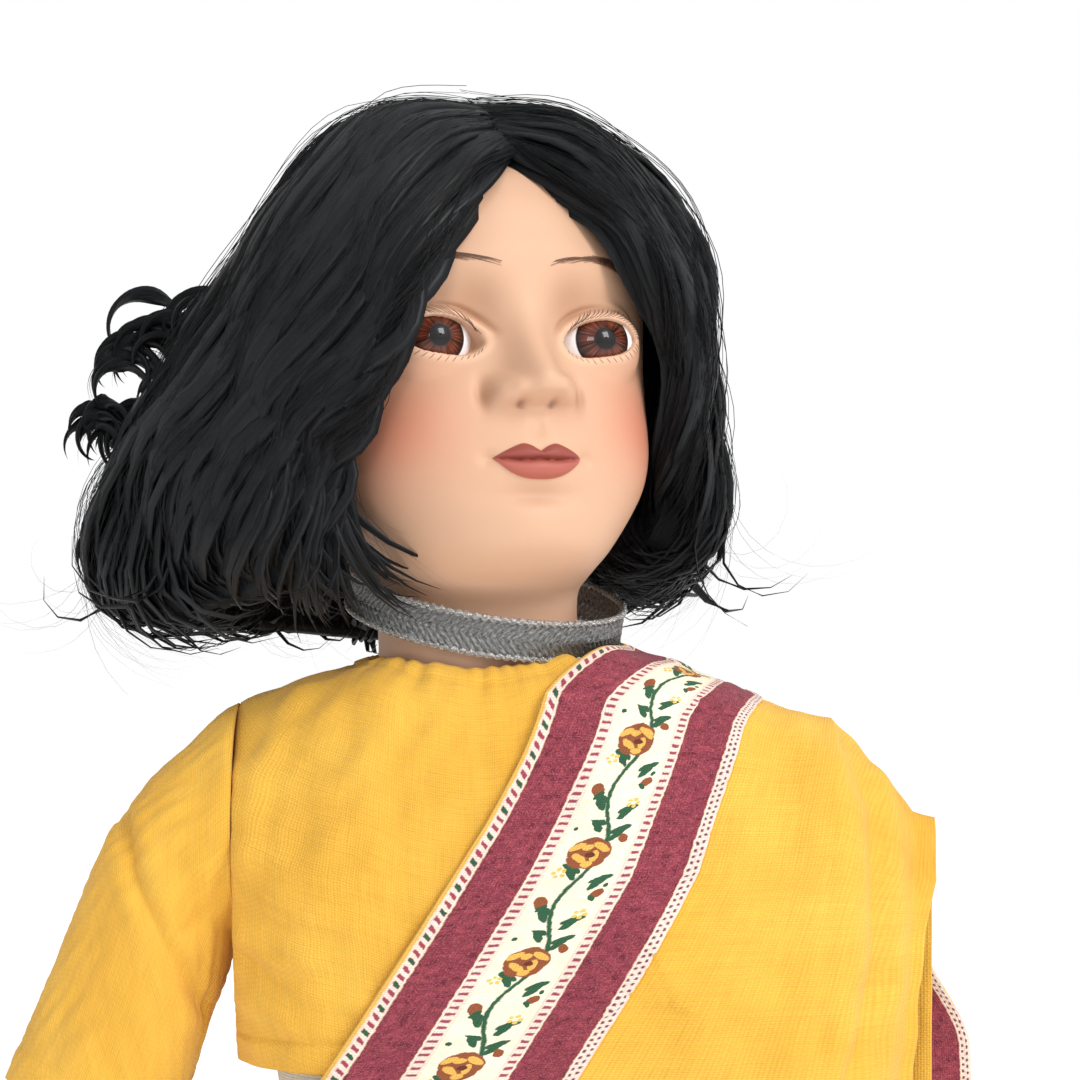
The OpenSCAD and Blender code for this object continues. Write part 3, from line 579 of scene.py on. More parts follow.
glass = eye_material()
for side, label in ((-1, "right"), (1, "left")):
    points, uv, tips = eye_ball(side)
    rows, columns = points.shape[:2]
    ring = np.arange(columns)
    nxt = (ring + 1) % columns
    body_faces = grid_faces(rows, columns, close_columns=True)
    count = rows * columns
    front = np.stack([np.full(columns, count), ring, nxt], -1)
    back = np.stack([np.full(columns, count + 1), (rows - 1) * columns + nxt, (rows - 1) * columns + ring],
                    -1)
    triangles = np.concatenate([body_faces[:, [0, 1, 2]], body_faces[:, [0, 2, 3]], front[:, [0, 1, 2]],
                                back])
    every = np.concatenate([points.reshape(-1, 3), tips])
    every_uv = np.concatenate([uv.reshape(-1, 2), [[0.5, 0.5], [1.4, 0.5]]])
    eye = new_piece("glass_eye_" + label, every, triangles, glass, uv=every_uv, place=head_place)
    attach(eye, "head")
    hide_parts("eye_" + label)


# ---------- wig ----------
# Black synthetic fibre sewn in wefts to a net cap, parted in the middle and heat-set in loose waves
# that turn under at the ends. Flat tapering locks lie over a closed under-layer, with stray fibres on top.

hair_right = np.array([  # from the lock beside the face to the middle of the back, root to tip
    [(1.5, -27, 99), (-8, -35, 91.5), (-17, -38, 80), (-24, -38, 67), (-30, -34, 55), (-35, -28, 43),
     (-35, -22, 30), (-27, -12, 15)],
    [(1, -17, 108), (-13, -28, 102), (-24.9, -33, 88), (-33.4, -31, 73), (-41.9, -27, 56), (-48, -22, 41),
     (-48, -17, 23), (-40, -12, 6)],
    [(0.5, -6, 113.5), (-18.6, -14, 110), (-31.8, -17, 95), (-42.2, -14, 77), (-51.2, -8, 59),
     (-58.8, -3, 42), (-60, 0, 21), (-50, -2, 2)],
    [(0, 6, 115), (-20.5, 4, 112), (-34.4, 5, 98), (-45.8, 8, 80), (-56.7, 13, 61), (-65.7, 18, 43),
     (-67, 20, 21), (-58, 18, 3)],
    [(0, 18, 112), (-16.7, 22, 109), (-31, 26, 95), (-42.2, 31, 77), (-53.9, 36, 59), (-62.7, 39, 42),
     (-64, 40, 22), (-55, 38, 6)],
    [(0, 28, 105), (-8.4, 36, 98), (-18.9, 44, 83), (-28.2, 50, 67), (-37.2, 54, 51), (-43.1, 56, 38),
     (-44, 55, 22), (-38, 50, 8)],
    [(0, 32, 99), (-2, 41, 88), (-5, 48, 73), (-8, 52, 57), (-10, 54, 43), (-11, 54, 32), (-11, 52, 18),
     (-9, 48, 7)],
    [(0, 32, 101), (0, 42, 90), (0, 49, 73), (0, 53, 57), (0, 55, 43), (0, 55, 32), (0, 53, 18),
     (0, 49, 7)]], float)
hair_left = np.array([
    [(2.5, -27, 99), (11, -35.5, 91), (20.5, -38, 82), (29, -35, 70), (34, -28, 57), (36.5, -21, 44),
     (37, -13, 31), (29, -6, 17)],
    [(2.5, -17, 108), (15.8, -28, 102.5), (28.7, -31, 88), (36.5, -28, 75), (40.4, -23, 58),
     (42.2, -18, 43), (43.7, -12, 27), (37, -6, 10)],
    [(2, -6, 113.5), (18.6, -12, 111.5), (33.9, -16, 100), (44.2, -14, 85), (47.3, -10, 65), (48.4, -6, 46),
     (49.1, -2, 25), (42.8, 0, 7)],
    [(2, 6, 115), (19.5, 4, 112.5), (35.7, 4, 100), (44.2, 7, 83), (46.4, 10, 63), (47.5, 13, 44),
     (48.2, 14, 24), (41.8, 13, 7)],
    [(1, 18, 112), (15.8, 20, 108.5), (29.6, 23, 95), (37.4, 28, 79), (40.4, 31, 61), (42.2, 33, 44),
     (42.8, 33, 26), (37, 29, 10)],
    [(0.5, 28, 105), (8.4, 36, 96.5), (18.3, 42, 82), (24.6, 47, 67), (29.2, 50, 51), (31.7, 52, 38),
     (32.8, 51, 24), (28.5, 46, 11)],
    [(0, 32, 99), (3, 41, 87.5), (6, 48, 73), (9, 52, 57), (11, 54, 43), (12, 54, 32), (12, 52, 20),
     (10, 48, 10)],
    [(0, 32, 101), (0, 42, 90), (0, 49, 73), (0, 53, 57), (0, 55, 43), (0, 55, 32), (0, 53, 20),
     (0, 49, 10)]], float)


def hair_paths(net, v, t):
    """The flow of the hair: the net's rows are joined smoothly at each v, then followed from root, t 0,
    to tip, t 1."""
    rows = smooth_through(net, v)
    return np.moveaxis(smooth_through(np.moveaxis(rows, 1, 0), t * (net.shape[1] - 1)), 0, 1)


def unit(a):
    """The vectors scaled to length 1."""
    return a / np.maximum(np.linalg.norm(a, axis=-1, keepdims=True), 1e-9)


def hair_frame(paths):
    """Along, outwards and across directions at each point: outwards is away from the middle of the head."""
    along = unit(np.gradient(paths, axis=1))
    out = paths - np.array([0, 6, 62.0])
    out = out * np.array([1, 1, 0.75])
    out = unit(out - along * (out * along).sum(-1, keepdims=True))
    return along, out, np.cross(along, out)


def comb(net, v, depth, rng, t, wave=3.3, curl=(2.2, 3.6), start=0.8, flip=0.0):
    """Paths laid at a depth in the wig: waves grow towards the tip, and past start a path turns on an arc."""
    count = len(v)
    paths = hair_paths(net, v, t)
    along, out, across = hair_frame(paths)
    grow = (0.25 + 1.6 * t ** 1.6)[None, :, None]
    phase = (v * 1.1 + rng.normal(0, 0.35, count))[:, None, None]
    turns = 2 * np.pi * (3.1 * t[None, :, None] + 0.4 * phase)
    size = rng.uniform(0.5, 1.2, count)[:, None, None] * wave
    paths = paths + across * np.sin(turns) * grow * size + out * np.cos(turns) * grow * size * 0.55
    paths = paths + out * np.asarray(depth)[:, None, None]
    first = int(np.searchsorted(t, start))
    along, out, across = hair_frame(paths)
    length = np.linalg.norm(np.diff(paths[:, first:], axis=1), axis=-1).sum(1)[:, None, None]
    sweep = (rng.uniform(*curl, count) * (0.4 + 0.6 * step(v, 0.2, 1.4)))[:, None, None]
    way = np.where(rng.random(count) < flip, 1.0, -1.0)[:, None, None]
    turn = sweep * ((t[first:] - t[first]) / (1 - t[first]))[None, :, None]
    radius = length / sweep
    base, ahead, side = paths[:, first:first + 1], along[:, first:first + 1], out[:, first:first + 1] * way
    paths[:, first:] = base + radius * (np.sin(turn) * ahead + (1 - np.cos(turn)) * side)
    return paths


def hair_tubes(name, paths, width, thick, material, sides=6):
    """Flat tubes along the paths: an oval section that swells from the root and closes to a fine tip."""
    count, rings = paths.shape[:2]
    t = np.linspace(0, 1, rings)
    swell = (np.clip(np.sin(np.pi * (0.18 + 0.80 * t)), 0, 1) ** 0.55 * (1 - t ** 6) + 0.02)[None, :, None,
                                                                                             None]
    along, out, across = hair_frame(paths)
    angle = np.arange(sides) * 2 * np.pi / sides
    wide = across[:, :, None] * np.cos(angle)[:, None] * np.asarray(width)[:, None, None, None]
    deep = out[:, :, None] * np.sin(angle)[:, None] * np.asarray(thick)[:, None, None, None]
    points = paths[:, :, None] + (wide + deep) * swell
    tube = grid_faces(rings, sides, close_columns=True)
    if sides == 6:
        tube = np.concatenate([tube, [[0, 3, 2, 1], [0, 5, 4, 3]],
                               np.array([[0, 1, 2, 3], [0, 3, 4, 5]]) + (rings - 1) * sides])
    faces = (tube[None] + np.arange(count)[:, None, None] * rings * sides).reshape(-1, 4)
    reach = np.concatenate([np.zeros((count, 1)),
                            np.linalg.norm(np.diff(paths, axis=1), axis=-1).cumsum(1)], 1)
    uv = np.empty((count, rings, sides, 2))
    uv[..., 0] = np.arange(count)[:, None, None] * 0.37 + np.abs(np.linspace(-1, 1, sides)) * 0.5
    uv[..., 1] = reach[..., None] / 100
    return new_piece(name, points, faces, material, uv=uv, place=head_place)


def hair_material(name, gloss):
    """Near-black fibre: fine streaks along each lock change its colour and surface, with a cool sheen."""
    material, tree, shader = new_material(name)
    cut = add(tree, "ShaderNodeUVMap", uv_map="cut").outputs["UV"]
    drawn = add(tree, "ShaderNodeMapping", {"Vector": cut, "Scale": (46.0, 2.2, 1.0)}).outputs[0]
    fibre = add(tree, "ShaderNodeTexNoise",
                {"Vector": drawn, "Scale": 1.0, "Detail": 4.0, "Roughness": 0.65})
    broad = add(tree, "ShaderNodeMapping", {"Vector": cut, "Scale": (5.0, 1.0, 1.0)}).outputs[0]
    band = add(tree, "ShaderNodeTexNoise", {"Vector": broad, "Scale": 1.4, "Detail": 2.0}).outputs["Fac"]
    streak = add(tree, "ShaderNodeMath", {0: fibre.outputs["Fac"], 1: band},
                 operation="MULTIPLY").outputs[0]
    tint = add(tree, "ShaderNodeValToRGB", {"Fac": streak})
    tint.color_ramp.elements[0].position = 0.15
    tint.color_ramp.elements[0].color = (0.0012, 0.0013, 0.0016, 1)
    tint.color_ramp.elements[1].position = 0.42
    tint.color_ramp.elements[1].color = (0.0085, 0.0100, 0.0125, 1)
    tree.links.new(tint.outputs[0], shader.inputs["Base Color"])
    rough = add(tree, "ShaderNodeMapRange",
                {"Value": fibre.outputs["Fac"], "To Min": gloss, "To Max": gloss + 0.25})
    tree.links.new(rough.outputs[0], shader.inputs["Roughness"])
    bump = add(tree, "ShaderNodeBump",
               {"Height": fibre.outputs["Fac"], "Strength": 0.8, "Distance": 0.0005})
    tree.links.new(bump.outputs[0], shader.inputs["Normal"])
    shader.inputs["Specular IOR Level"].default_value = 0.24
    shader.inputs["Sheen Weight"].default_value = 0.015
    shader.inputs["Sheen Tint"].default_value = (0.55, 0.62, 0.75, 1)
    return material


fibre = hair_material("hair_fibre", 0.34)
rng = np.random.default_rng(11)
wig = []
for label, net in (("right", hair_right), ("left", hair_left)):
    grid_v, grid_t = np.linspace(0.25, 7, 60), np.linspace(0, 0.90, 44)
    under = hair_paths(net, grid_v, grid_t)
    _, out, _ = hair_frame(under)
    under = under - out * (2.2 + 2.5 * grid_t[None, :, None])
    both = np.stack([under, under - out * 1.2])
    top = grid_faces(60, 44)
    rim = np.concatenate([np.arange(44), 43 + 44 * np.arange(1, 60), 59 * 44 + np.arange(42, -1, -1),
                          44 * np.arange(58, 0, -1)])
    nxt = np.roll(rim, -1)
    walls = np.stack([rim, nxt, nxt + 2640, rim + 2640], -1)
    faces = np.concatenate([top[:, ::-1], top + 2640, walls])
    uv = np.stack(np.broadcast_arrays(grid_v[None, :, None] * 0.9, grid_t[None, None, :]), -1)
    uv = np.broadcast_to(uv, (2, 60, 44, 2))
    wig.append(new_piece("wig_under_layer_" + label, both, faces, fibre, uv=uv, place=head_place))

    count = 400
    t = np.linspace(0, 1, 30)
    v = np.sort(rng.uniform(0, 7, count))
    v[:26] = rng.uniform(0.0, 0.5, 26)
    depth = rng.uniform(-4.2, 0.6, count)
    paths = comb(net, v, depth, rng, t, flip=0.03)
    wig.append(hair_tubes("wig_locks_" + label, paths, rng.uniform(1.9, 3.8, count),
                          rng.uniform(0.6, 1.2, count), fibre))

    count = 460
    t = np.linspace(0, 1, 38)
    v = np.concatenate([rng.uniform(0, 7, count - 60), rng.uniform(-0.6, 0.02, 60)])
    depth = np.concatenate([rng.gamma(1.3, 0.7, count - 60) + 0.1, rng.uniform(-0.5, 1.2, 60)])
    paths = comb(net, v, depth, rng, t, wave=3.6, curl=(1.4, 4.4), start=0.78, flip=0.03)
    wander = rng.normal(0, 1,
                        (count, 1, 3)) * np.sin(np.pi * 1.7 * t[None, :, None] + rng.uniform(0, 6,
                                                                                             (count, 1, 1)))
    paths += wander * (0.2 + 0.9 * t[None, :, None])
    fine = rng.uniform(0.05, 0.085, count)
    wig.append(hair_tubes("wig_strays_" + label, paths, fine, fine, fibre, sides=4))

curl_heart = np.array([  # middle and radius of each curl that has sprung out behind the right ear
    (-45, 26, 74, 8.5), (-55, 30, 71, 8), (-60, 30, 67, 7), (-50, 30, 58, 9),
    (-60, 32, 52, 7.5), (-65, 32, 56, 5.2), (-56, 32, 38, 8.5), (-62, 32, 30, 7.5),
    (-58, 30, 24, 7)], float)
t = np.linspace(0, 1, 34)
curls = []
for x, y, z, radius in curl_heart:
    for _ in range(9):
        size = radius * rng.uniform(0.72, 1.12)
        turn = (-1.0 + rng.normal(0, 0.2) + (4.6 + rng.uniform(-0.8, 0.9)) * t)[:, None]
        ring = np.concatenate([np.cos(turn), 0.35 * np.sin(turn + 1.0), np.sin(turn)],
                              1) * size * (1.15 - 0.45 * t[:, None])
        drift = rng.normal(0, 1.7, 3) + np.array([0, 9, 0]) * (t[:, None] - 0.5)
        curls.append(np.array([x, y, z]) + ring + drift)
curls = np.array(curls)
wig.append(hair_tubes("wig_flipped_curls", curls, rng.uniform(0.9, 2.0, len(curls)),
                      rng.uniform(0.5, 1.0, len(curls)), fibre))
every_other = curls[::2]
moved = rng.normal(0, 0.8, (len(every_other), 1, 3))
loose = every_other + moved + (every_other - every_other.mean(1, keepdims=True)) * 0.06
wig.append(hair_tubes("wig_curl_strays", loose, np.full(len(loose), 0.09), np.full(len(loose), 0.09), fibre,
                      sides=4))
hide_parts("hair_right", "hair_back", "hair_top")
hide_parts("hair_left")
for piece in wig:
    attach(piece, "head")

# ---------- choker ----------
# A flat ribbon of metallic thread braided in chevrons, with a twisted silver cord along both edges,
# closed at the back of the neck.

def choker_ribbon(columns=1560, rows=13):
    """A band round an upright ring: chevron ridges follow the length plus the distance from the middle,
    the two ends meet at the back, and the whole ring falls forwards and leans to the left."""
    around = np.linspace(0, 2 * np.pi, columns)[None, :]
    up = np.linspace(-3.2, 3.2, rows)[:, None]
    length = around * 26.3
    braid = np.sin((length + 0.95 * np.abs(up)) * 2 * np.pi / 1.45)
    cross = np.sin((up + 0.15 * braid) * 2 * np.pi / 1.3)
    radius = 26.3 + 0.30 * braid + 0.07 * cross + 0.12 * np.sin(3 * around + 1) * (up / 3.2)
    points = np.stack(np.broadcast_arrays(radius * np.sin(around), radius * np.cos(around), up), -1)
    uv = np.stack(np.broadcast_arrays(length, up), -1)
    return points, uv


def twisted_cord(height, columns=2400, sides=8):
    """A cord round the ring: its oval section turns once in 1.7 mm, so the two strands show as a twist."""
    around = np.arange(columns) * 2 * np.pi / columns
    spin = around * 26.4 / 1.7 * 2 * np.pi
    spin = np.round(spin[1] * columns / (2 * np.pi)) * around
    section = np.arange(sides) * 2 * np.pi / sides
    thick = 0.56 + 0.24 * np.cos(2 * (section[None, :] - spin[:, None] / 2))
    radial = 26.45 + thick * np.cos(section)[None, :]
    rise = height + thick * np.sin(section)[None, :]
    points = np.stack([radial * np.sin(around)[:, None], radial * np.cos(around)[:, None], rise], -1)
    uv = np.stack(np.broadcast_arrays(around[:, None] * 26.4, section[None, :]), -1)
    return points, uv


def silver_thread(name, dark, bright, rough):
    """Metal thread: the colour runs from dark to bright with the same noise that raises the fibres, painted
    shade in their hollows and painted glints on their crests; a rough spread of reflection, glossier on the
    bright fibres.
    """
    material, tree, shader = new_material(name)
    cut = add(tree, "ShaderNodeUVMap", uv_map="cut").outputs["UV"]
    split = add(tree, "ShaderNodeSeparateXYZ", {0: cut}).outputs
    half = add(tree, "ShaderNodeMath", {0: split[1]}, operation="ABSOLUTE").outputs[0]
    slant = add(tree, "ShaderNodeMath", {0: half, 1: 0.95, 2: split[0]},
                operation="MULTIPLY_ADD").outputs[0]
    turned = add(tree, "ShaderNodeCombineXYZ", {0: slant, 1: split[1]}).outputs[0]
    drawn = add(tree, "ShaderNodeMapping", {"Vector": turned, "Scale": (3.2, 0.9, 1.0)}).outputs[0]
    strand = add(tree, "ShaderNodeTexNoise",
                 {"Vector": drawn, "Scale": 1.6, "Detail": 4.0, "Roughness": 0.7})
    # painted shade and glints: dark where the strand noise is low, in the hollows of the relief, bright on
    # its crests
    tint = add(tree, "ShaderNodeValToRGB", {"Fac": strand.outputs["Fac"]})
    tint.color_ramp.elements[0].position = 0.36
    tint.color_ramp.elements[0].color = (*dark, 1)
    tint.color_ramp.elements[1].position = 0.62
    tint.color_ramp.elements[1].color = (*bright, 1)
    tree.links.new(tint.outputs[0], shader.inputs["Base Color"])
    spread = add(tree, "ShaderNodeMapRange",
                 {"Value": strand.outputs["Fac"], "To Min": rough + 0.2, "To Max": rough})
    tree.links.new(spread.outputs[0], shader.inputs["Roughness"])
    bump = add(tree, "ShaderNodeBump",
               {"Height": strand.outputs["Fac"], "Strength": 1.0, "Distance": 0.0003})
    tree.links.new(bump.outputs[0], shader.inputs["Normal"])
    shader.inputs["Metallic"].default_value = 0.92
    return material


choker_place = (Matrix.Translation((0.001, 0.0035, neck_z + 0.0168)) @ Matrix.Rotation(math.radians(9.5), 4,
                                                                                       "Y")
                @ Matrix.Rotation(math.radians(11), 4, "X") @ Matrix.Scale(0.001, 4))
braid_silver = silver_thread("silver_braid", (0.035, 0.035, 0.035), (0.42, 0.42, 0.41), 0.26)
cord_silver = silver_thread("silver_cord", (0.10, 0.10, 0.10), (0.90, 0.90, 0.88), 0.10)
ribbon_points, ribbon_cut = choker_ribbon()
ribbon = new_piece("choker_ribbon", ribbon_points, grid_faces(13, 1560), braid_silver, uv=ribbon_cut,
                   place=choker_place)
ribbon_body = ribbon.modifiers.new("thickness", "SOLIDIFY")
ribbon_body.thickness = 0.0005
ribbon_body.offset = 0.0
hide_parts("choker")
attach(ribbon, "torso")
for label, height in (("top", 3.45), ("bottom", -3.45)):
    cord_points, cord_cut = twisted_cord(height)
    cord = new_piece("choker_edge_" + label, cord_points, grid_faces(2400, 8, True, True), cord_silver,
                     uv=cord_cut, place=choker_place)
    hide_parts("choker")
    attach(cord, "torso")

# ---------- blouse ----------
# A fitted blouse of plain-weave yellow cotton, closed down the back with three snaps.
# Its neck edge and hem are turned under and stitched, and it lies on the stuffed body beneath.

def plane_gap(normals, start, way, balls):
    """(h(n) - n.start) / n.way, the distance to the plane that touches the balls, where h(n) is
    max(centre.n + radius)."""
    far = (normals @ balls[:, :3].T + balls[:, 3]).max(-1)
    facing = (normals * way).sum(-1)
    return np.where(facing > 0.02, (far - (normals * start).sum(-1)) / np.maximum(facing, 0.02), 1e9)


def wrap_reach(start, way, balls):
    """How far each ray goes inside the tight skin round the balls: the least plane_gap over all normals,
    first over an even spiral of them, then over eight neighbours of the best one, closer each time."""
    start, way = np.broadcast_arrays(np.asarray(start, float), np.asarray(way, float))
    shape = start.shape[:-1]
    start, way = start.reshape(-1, 3), way.reshape(-1, 3)
    k = np.arange(600) + 0.5
    height = 1 - k / 300
    around = np.pi * (1 + 5 ** 0.5) * k
    flat = np.sqrt(1 - height ** 2)
    spiral = np.stack([flat * np.cos(around), flat * np.sin(around), height], -1)
    far = (spiral @ balls[:, :3].T + balls[:, 3]).max(-1)
    facing = way @ spiral.T
    gaps = np.where(facing > 0.02, (far - start @ spiral.T) / np.maximum(facing, 0.02), 1e9)
    best = spiral[gaps.argmin(1)]
    spread = 0.09
    turn = np.arange(8) * np.pi / 4
    for _ in range(8):
        side = np.cross(best, np.where(np.abs(best[:, 2:]) < 0.9, [[0, 0, 1.0]], [[1.0, 0, 0]]))
        side /= np.linalg.norm(side, axis=-1, keepdims=True)
        over = np.cross(best, side)
        tries = best + spread * (np.cos(turn)[:, None, None] * side + np.sin(turn)[:, None, None] * over)
        tries = np.concatenate([best[None], tries / np.linalg.norm(tries, axis=-1, keepdims=True)])
        gaps = plane_gap(tries, start, way, balls)
        pick = gaps.argmin(0)
        best = tries[pick, np.arange(len(best))]
        spread *= 0.6
    return gaps.min(0).reshape(shape)


def fold_line(x, z, line, width):
    """exp(-(d / width)^2), where d is the distance in x and z to the broken line."""
    nearest = np.full(np.shape(x), 1e9)
    for (x0, z0), (x1, z1) in zip(line[:-1], line[1:]):
        along = ((x - x0) * (x1 - x0) + (z - z0) * (z1 - z0)) / ((x1 - x0) ** 2 + (z1 - z0) ** 2)
        along = np.clip(along, 0, 1)
        nearest = np.minimum(nearest, np.hypot(x - x0 - along * (x1 - x0), z - z0 - along * (z1 - z0)))
    return np.exp(-(nearest / width) ** 2)


def soft_ripple(a, b, seed, waves=9, low=0.04, high=0.16):
    """The sum of sine waves of random direction, length and phase over a and b, about -1 to 1 high."""
    chance = np.random.default_rng(seed)
    total = np.zeros(np.broadcast(a, b).shape)
    for way, length, shift in zip(chance.uniform(0, np.pi, waves), chance.uniform(low, high, waves),
                                  chance.uniform(0, 6.3, waves)):
        total = total + np.sin(length * (np.cos(way) * a + np.sin(way) * b) * 2 * np.pi + shift)
    return total / waves ** 0.5


def grid_normals(points):
    """Unit normals of a grid of points: the cross product of the slopes along columns and rows."""
    across = np.gradient(points, axis=1)
    down = np.gradient(points, axis=0)
    normal = np.cross(across, down)
    return normal / np.maximum(np.linalg.norm(normal, axis=-1, keepdims=True), 1e-9)


def cloth_piece(name, points, material, uv, thick=0.8):
    """A grid of points as cloth thick mm through, both faces and the cut edges included."""
    rows, columns = points.shape[:2]
    piece = new_piece(name, points, grid_faces(rows, columns), material, uv=uv,
                      place=Matrix.Scale(0.001, 4))
    shell = piece.modifiers.new("thickness", "SOLIDIFY")
    shell.thickness = thick * 0.001
    shell.offset = 0.0
    return piece


def weave_group():
    """Plain weave: a thread wave along each way, over and under by turns, thick and thin places along the
    threads, and a broad unevenness. Gives the colour, with painted shade between the threads and tone from
    the slubs and unevenness, the height and the roughness."""
    group = bpy.data.node_groups.new("plain_weave", "ShaderNodeTree")
    face = group.interface
    face.new_socket("Cut", in_out="INPUT", socket_type="NodeSocketVector")
    face.new_socket("Color", in_out="INPUT", socket_type="NodeSocketColor")
    face.new_socket("Threads", in_out="INPUT", socket_type="NodeSocketFloat").default_value = 2.1
    face.new_socket("Color", in_out="OUTPUT", socket_type="NodeSocketColor")
    face.new_socket("Height", in_out="OUTPUT", socket_type="NodeSocketFloat")
    face.new_socket("Roughness", in_out="OUTPUT", socket_type="NodeSocketFloat")
    given = group.nodes.new("NodeGroupInput").outputs
    result = group.nodes.new("NodeGroupOutput").inputs
    split = add(group, "ShaderNodeSeparateXYZ", {0: given["Cut"]}).outputs
    waves = []
    for way in (0, 1):
        count = add(group, "ShaderNodeMath", {0: split[way], 1: given["Threads"]},
                    operation="MULTIPLY").outputs[0]
        angle = add(group, "ShaderNodeMath", {0: count, 1: math.pi}, operation="MULTIPLY").outputs[0]
        waves.append(add(group, "ShaderNodeMath", {0: angle}, operation="SINE").outputs[0])
    cross = add(group, "ShaderNodeMath", {0: waves[0], 1: waves[1]}, operation="MULTIPLY").outputs[0]
    warp = add(group, "ShaderNodeMath", {0: waves[0]}, operation="ABSOLUTE").outputs[0]
    weft = add(group, "ShaderNodeMath", {0: waves[1]}, operation="ABSOLUTE").outputs[0]
    sum_ = add(group, "ShaderNodeMath", {0: warp, 1: weft}, operation="ADD").outputs[0]
    threads = add(group, "ShaderNodeMath", {0: cross, 1: 0.5, 2: sum_}, operation="MULTIPLY_ADD").outputs[0]
    slubs = []
    for stretch in ((0.12, 2.6, 1.0), (2.6, 0.12, 1.0)):
        drawn = add(group, "ShaderNodeMapping", {"Vector": given["Cut"], "Scale": stretch}).outputs[0]
        slubs.append(add(group, "ShaderNodeTexNoise",
                         {"Vector": drawn, "Scale": 1.0, "Detail": 2.0}).outputs["Fac"])
    slub = add(group, "ShaderNodeMath", {0: slubs[0], 1: slubs[1]}, operation="ADD").outputs[0]
    broad = add(group, "ShaderNodeTexNoise",
                {"Vector": given["Cut"], "Scale": 0.09, "Detail": 3.0}).outputs["Fac"]
    # painted shade: the colour drops to 0.8 where the thread pattern is low, between the threads, and rises a
    # little on their crowns
    shade = add(group, "ShaderNodeMapRange",
                {"Value": threads, "From Max": 2.2, "To Min": 0.80, "To Max": 1.06})
    streak = add(group, "ShaderNodeMapRange", {"Value": slub, "From Min": 0.7, "From Max": 1.3,
                                               "To Min": 0.91, "To Max": 1.07})
    uneven = add(group, "ShaderNodeMapRange", {"Value": broad, "From Min": 0.3, "From Max": 0.7,
                                               "To Min": 0.95, "To Max": 1.03})
    both = add(group, "ShaderNodeMath", {0: shade.outputs[0], 1: streak.outputs[0]},
               operation="MULTIPLY").outputs[0]
    level = add(group, "ShaderNodeMath", {0: both, 1: uneven.outputs[0]}, operation="MULTIPLY").outputs[0]
    tint = add(group, "ShaderNodeVectorMath", {0: given["Color"], 1: level},
               operation="MULTIPLY").outputs[0]
    group.links.new(tint, result["Color"])
    height = add(group, "ShaderNodeMath", {0: slub, 1: 0.6, 2: threads},
                 operation="MULTIPLY_ADD").outputs[0]
    group.links.new(height, result["Height"])
    rough = add(group, "ShaderNodeMapRange", {"Value": slub, "From Min": 0.7, "From Max": 1.3,
                                              "To Min": 0.95, "To Max": 0.78}).outputs[0]
    group.links.new(rough, result["Roughness"])
    return group


plain_weave = weave_group()


def woven_cloth(name, color, threads=2.1, deep=None, sheen=0.35):
    """Woven cotton: the weave darkens the colour between its threads as painted shade, and the colour shifts
    slowly to a deeper one from place to place.
    """
    material, tree, shader = new_material(name)
    cut = add(tree, "ShaderNodeUVMap", uv_map="cut").outputs["UV"]
    drift = add(tree, "ShaderNodeTexNoise", {"Vector": cut, "Scale": 0.035, "Detail": 2.0}).outputs["Fac"]
    tint = add(tree, "ShaderNodeValToRGB", {"Fac": drift})
    tint.color_ramp.elements[0].position = 0.35
    tint.color_ramp.elements[0].color = (*(deep or [0.9 * c for c in color]), 1)
    tint.color_ramp.elements[1].position = 0.65
    tint.color_ramp.elements[1].color = (*color, 1)
    weave = tree.nodes.new("ShaderNodeGroup")
    weave.node_tree = plain_weave
    tree.links.new(cut, weave.inputs["Cut"])
    tree.links.new(tint.outputs[0], weave.inputs["Color"])
    weave.inputs["Threads"].default_value = threads
    bump = add(tree, "ShaderNodeBump",
               {"Height": weave.outputs["Height"], "Strength": 0.55, "Distance": 0.00012})
    tree.links.new(weave.outputs["Color"], shader.inputs["Base Color"])
    tree.links.new(weave.outputs["Roughness"], shader.inputs["Roughness"])
    tree.links.new(bump.outputs[0], shader.inputs["Normal"])
    shader.inputs["Specular IOR Level"].default_value = 0.25
    shader.inputs["Sheen Weight"].default_value = sheen * 0.3
    shader.inputs["Sheen Roughness"].default_value = 0.5
    return material


yellow_cotton = woven_cloth("yellow_cotton", (0.85, 0.485, 0.068), deep=(0.80, 0.425, 0.050))

NECK_MM = neck_z * 1000
SHOULDER_MM = NECK_MM - 24


def body_balls(grown):
    """The balls that the clothes are pulled over: collar, shoulders, armholes, bust and waist, grown out."""
    half = [(15, 14, -3.5, 6), (15, -14, -3.5, 6), (37, 0, -13, 9), (36, 0, -24, 15.6),
            (22, -3, -35, 21), (19.8, 0, -71, 20)]
    both = [(side * x, y, NECK_MM + z, r + grown) for x, y, z, r in half for side in (-1, 1)]
    return np.array(both)


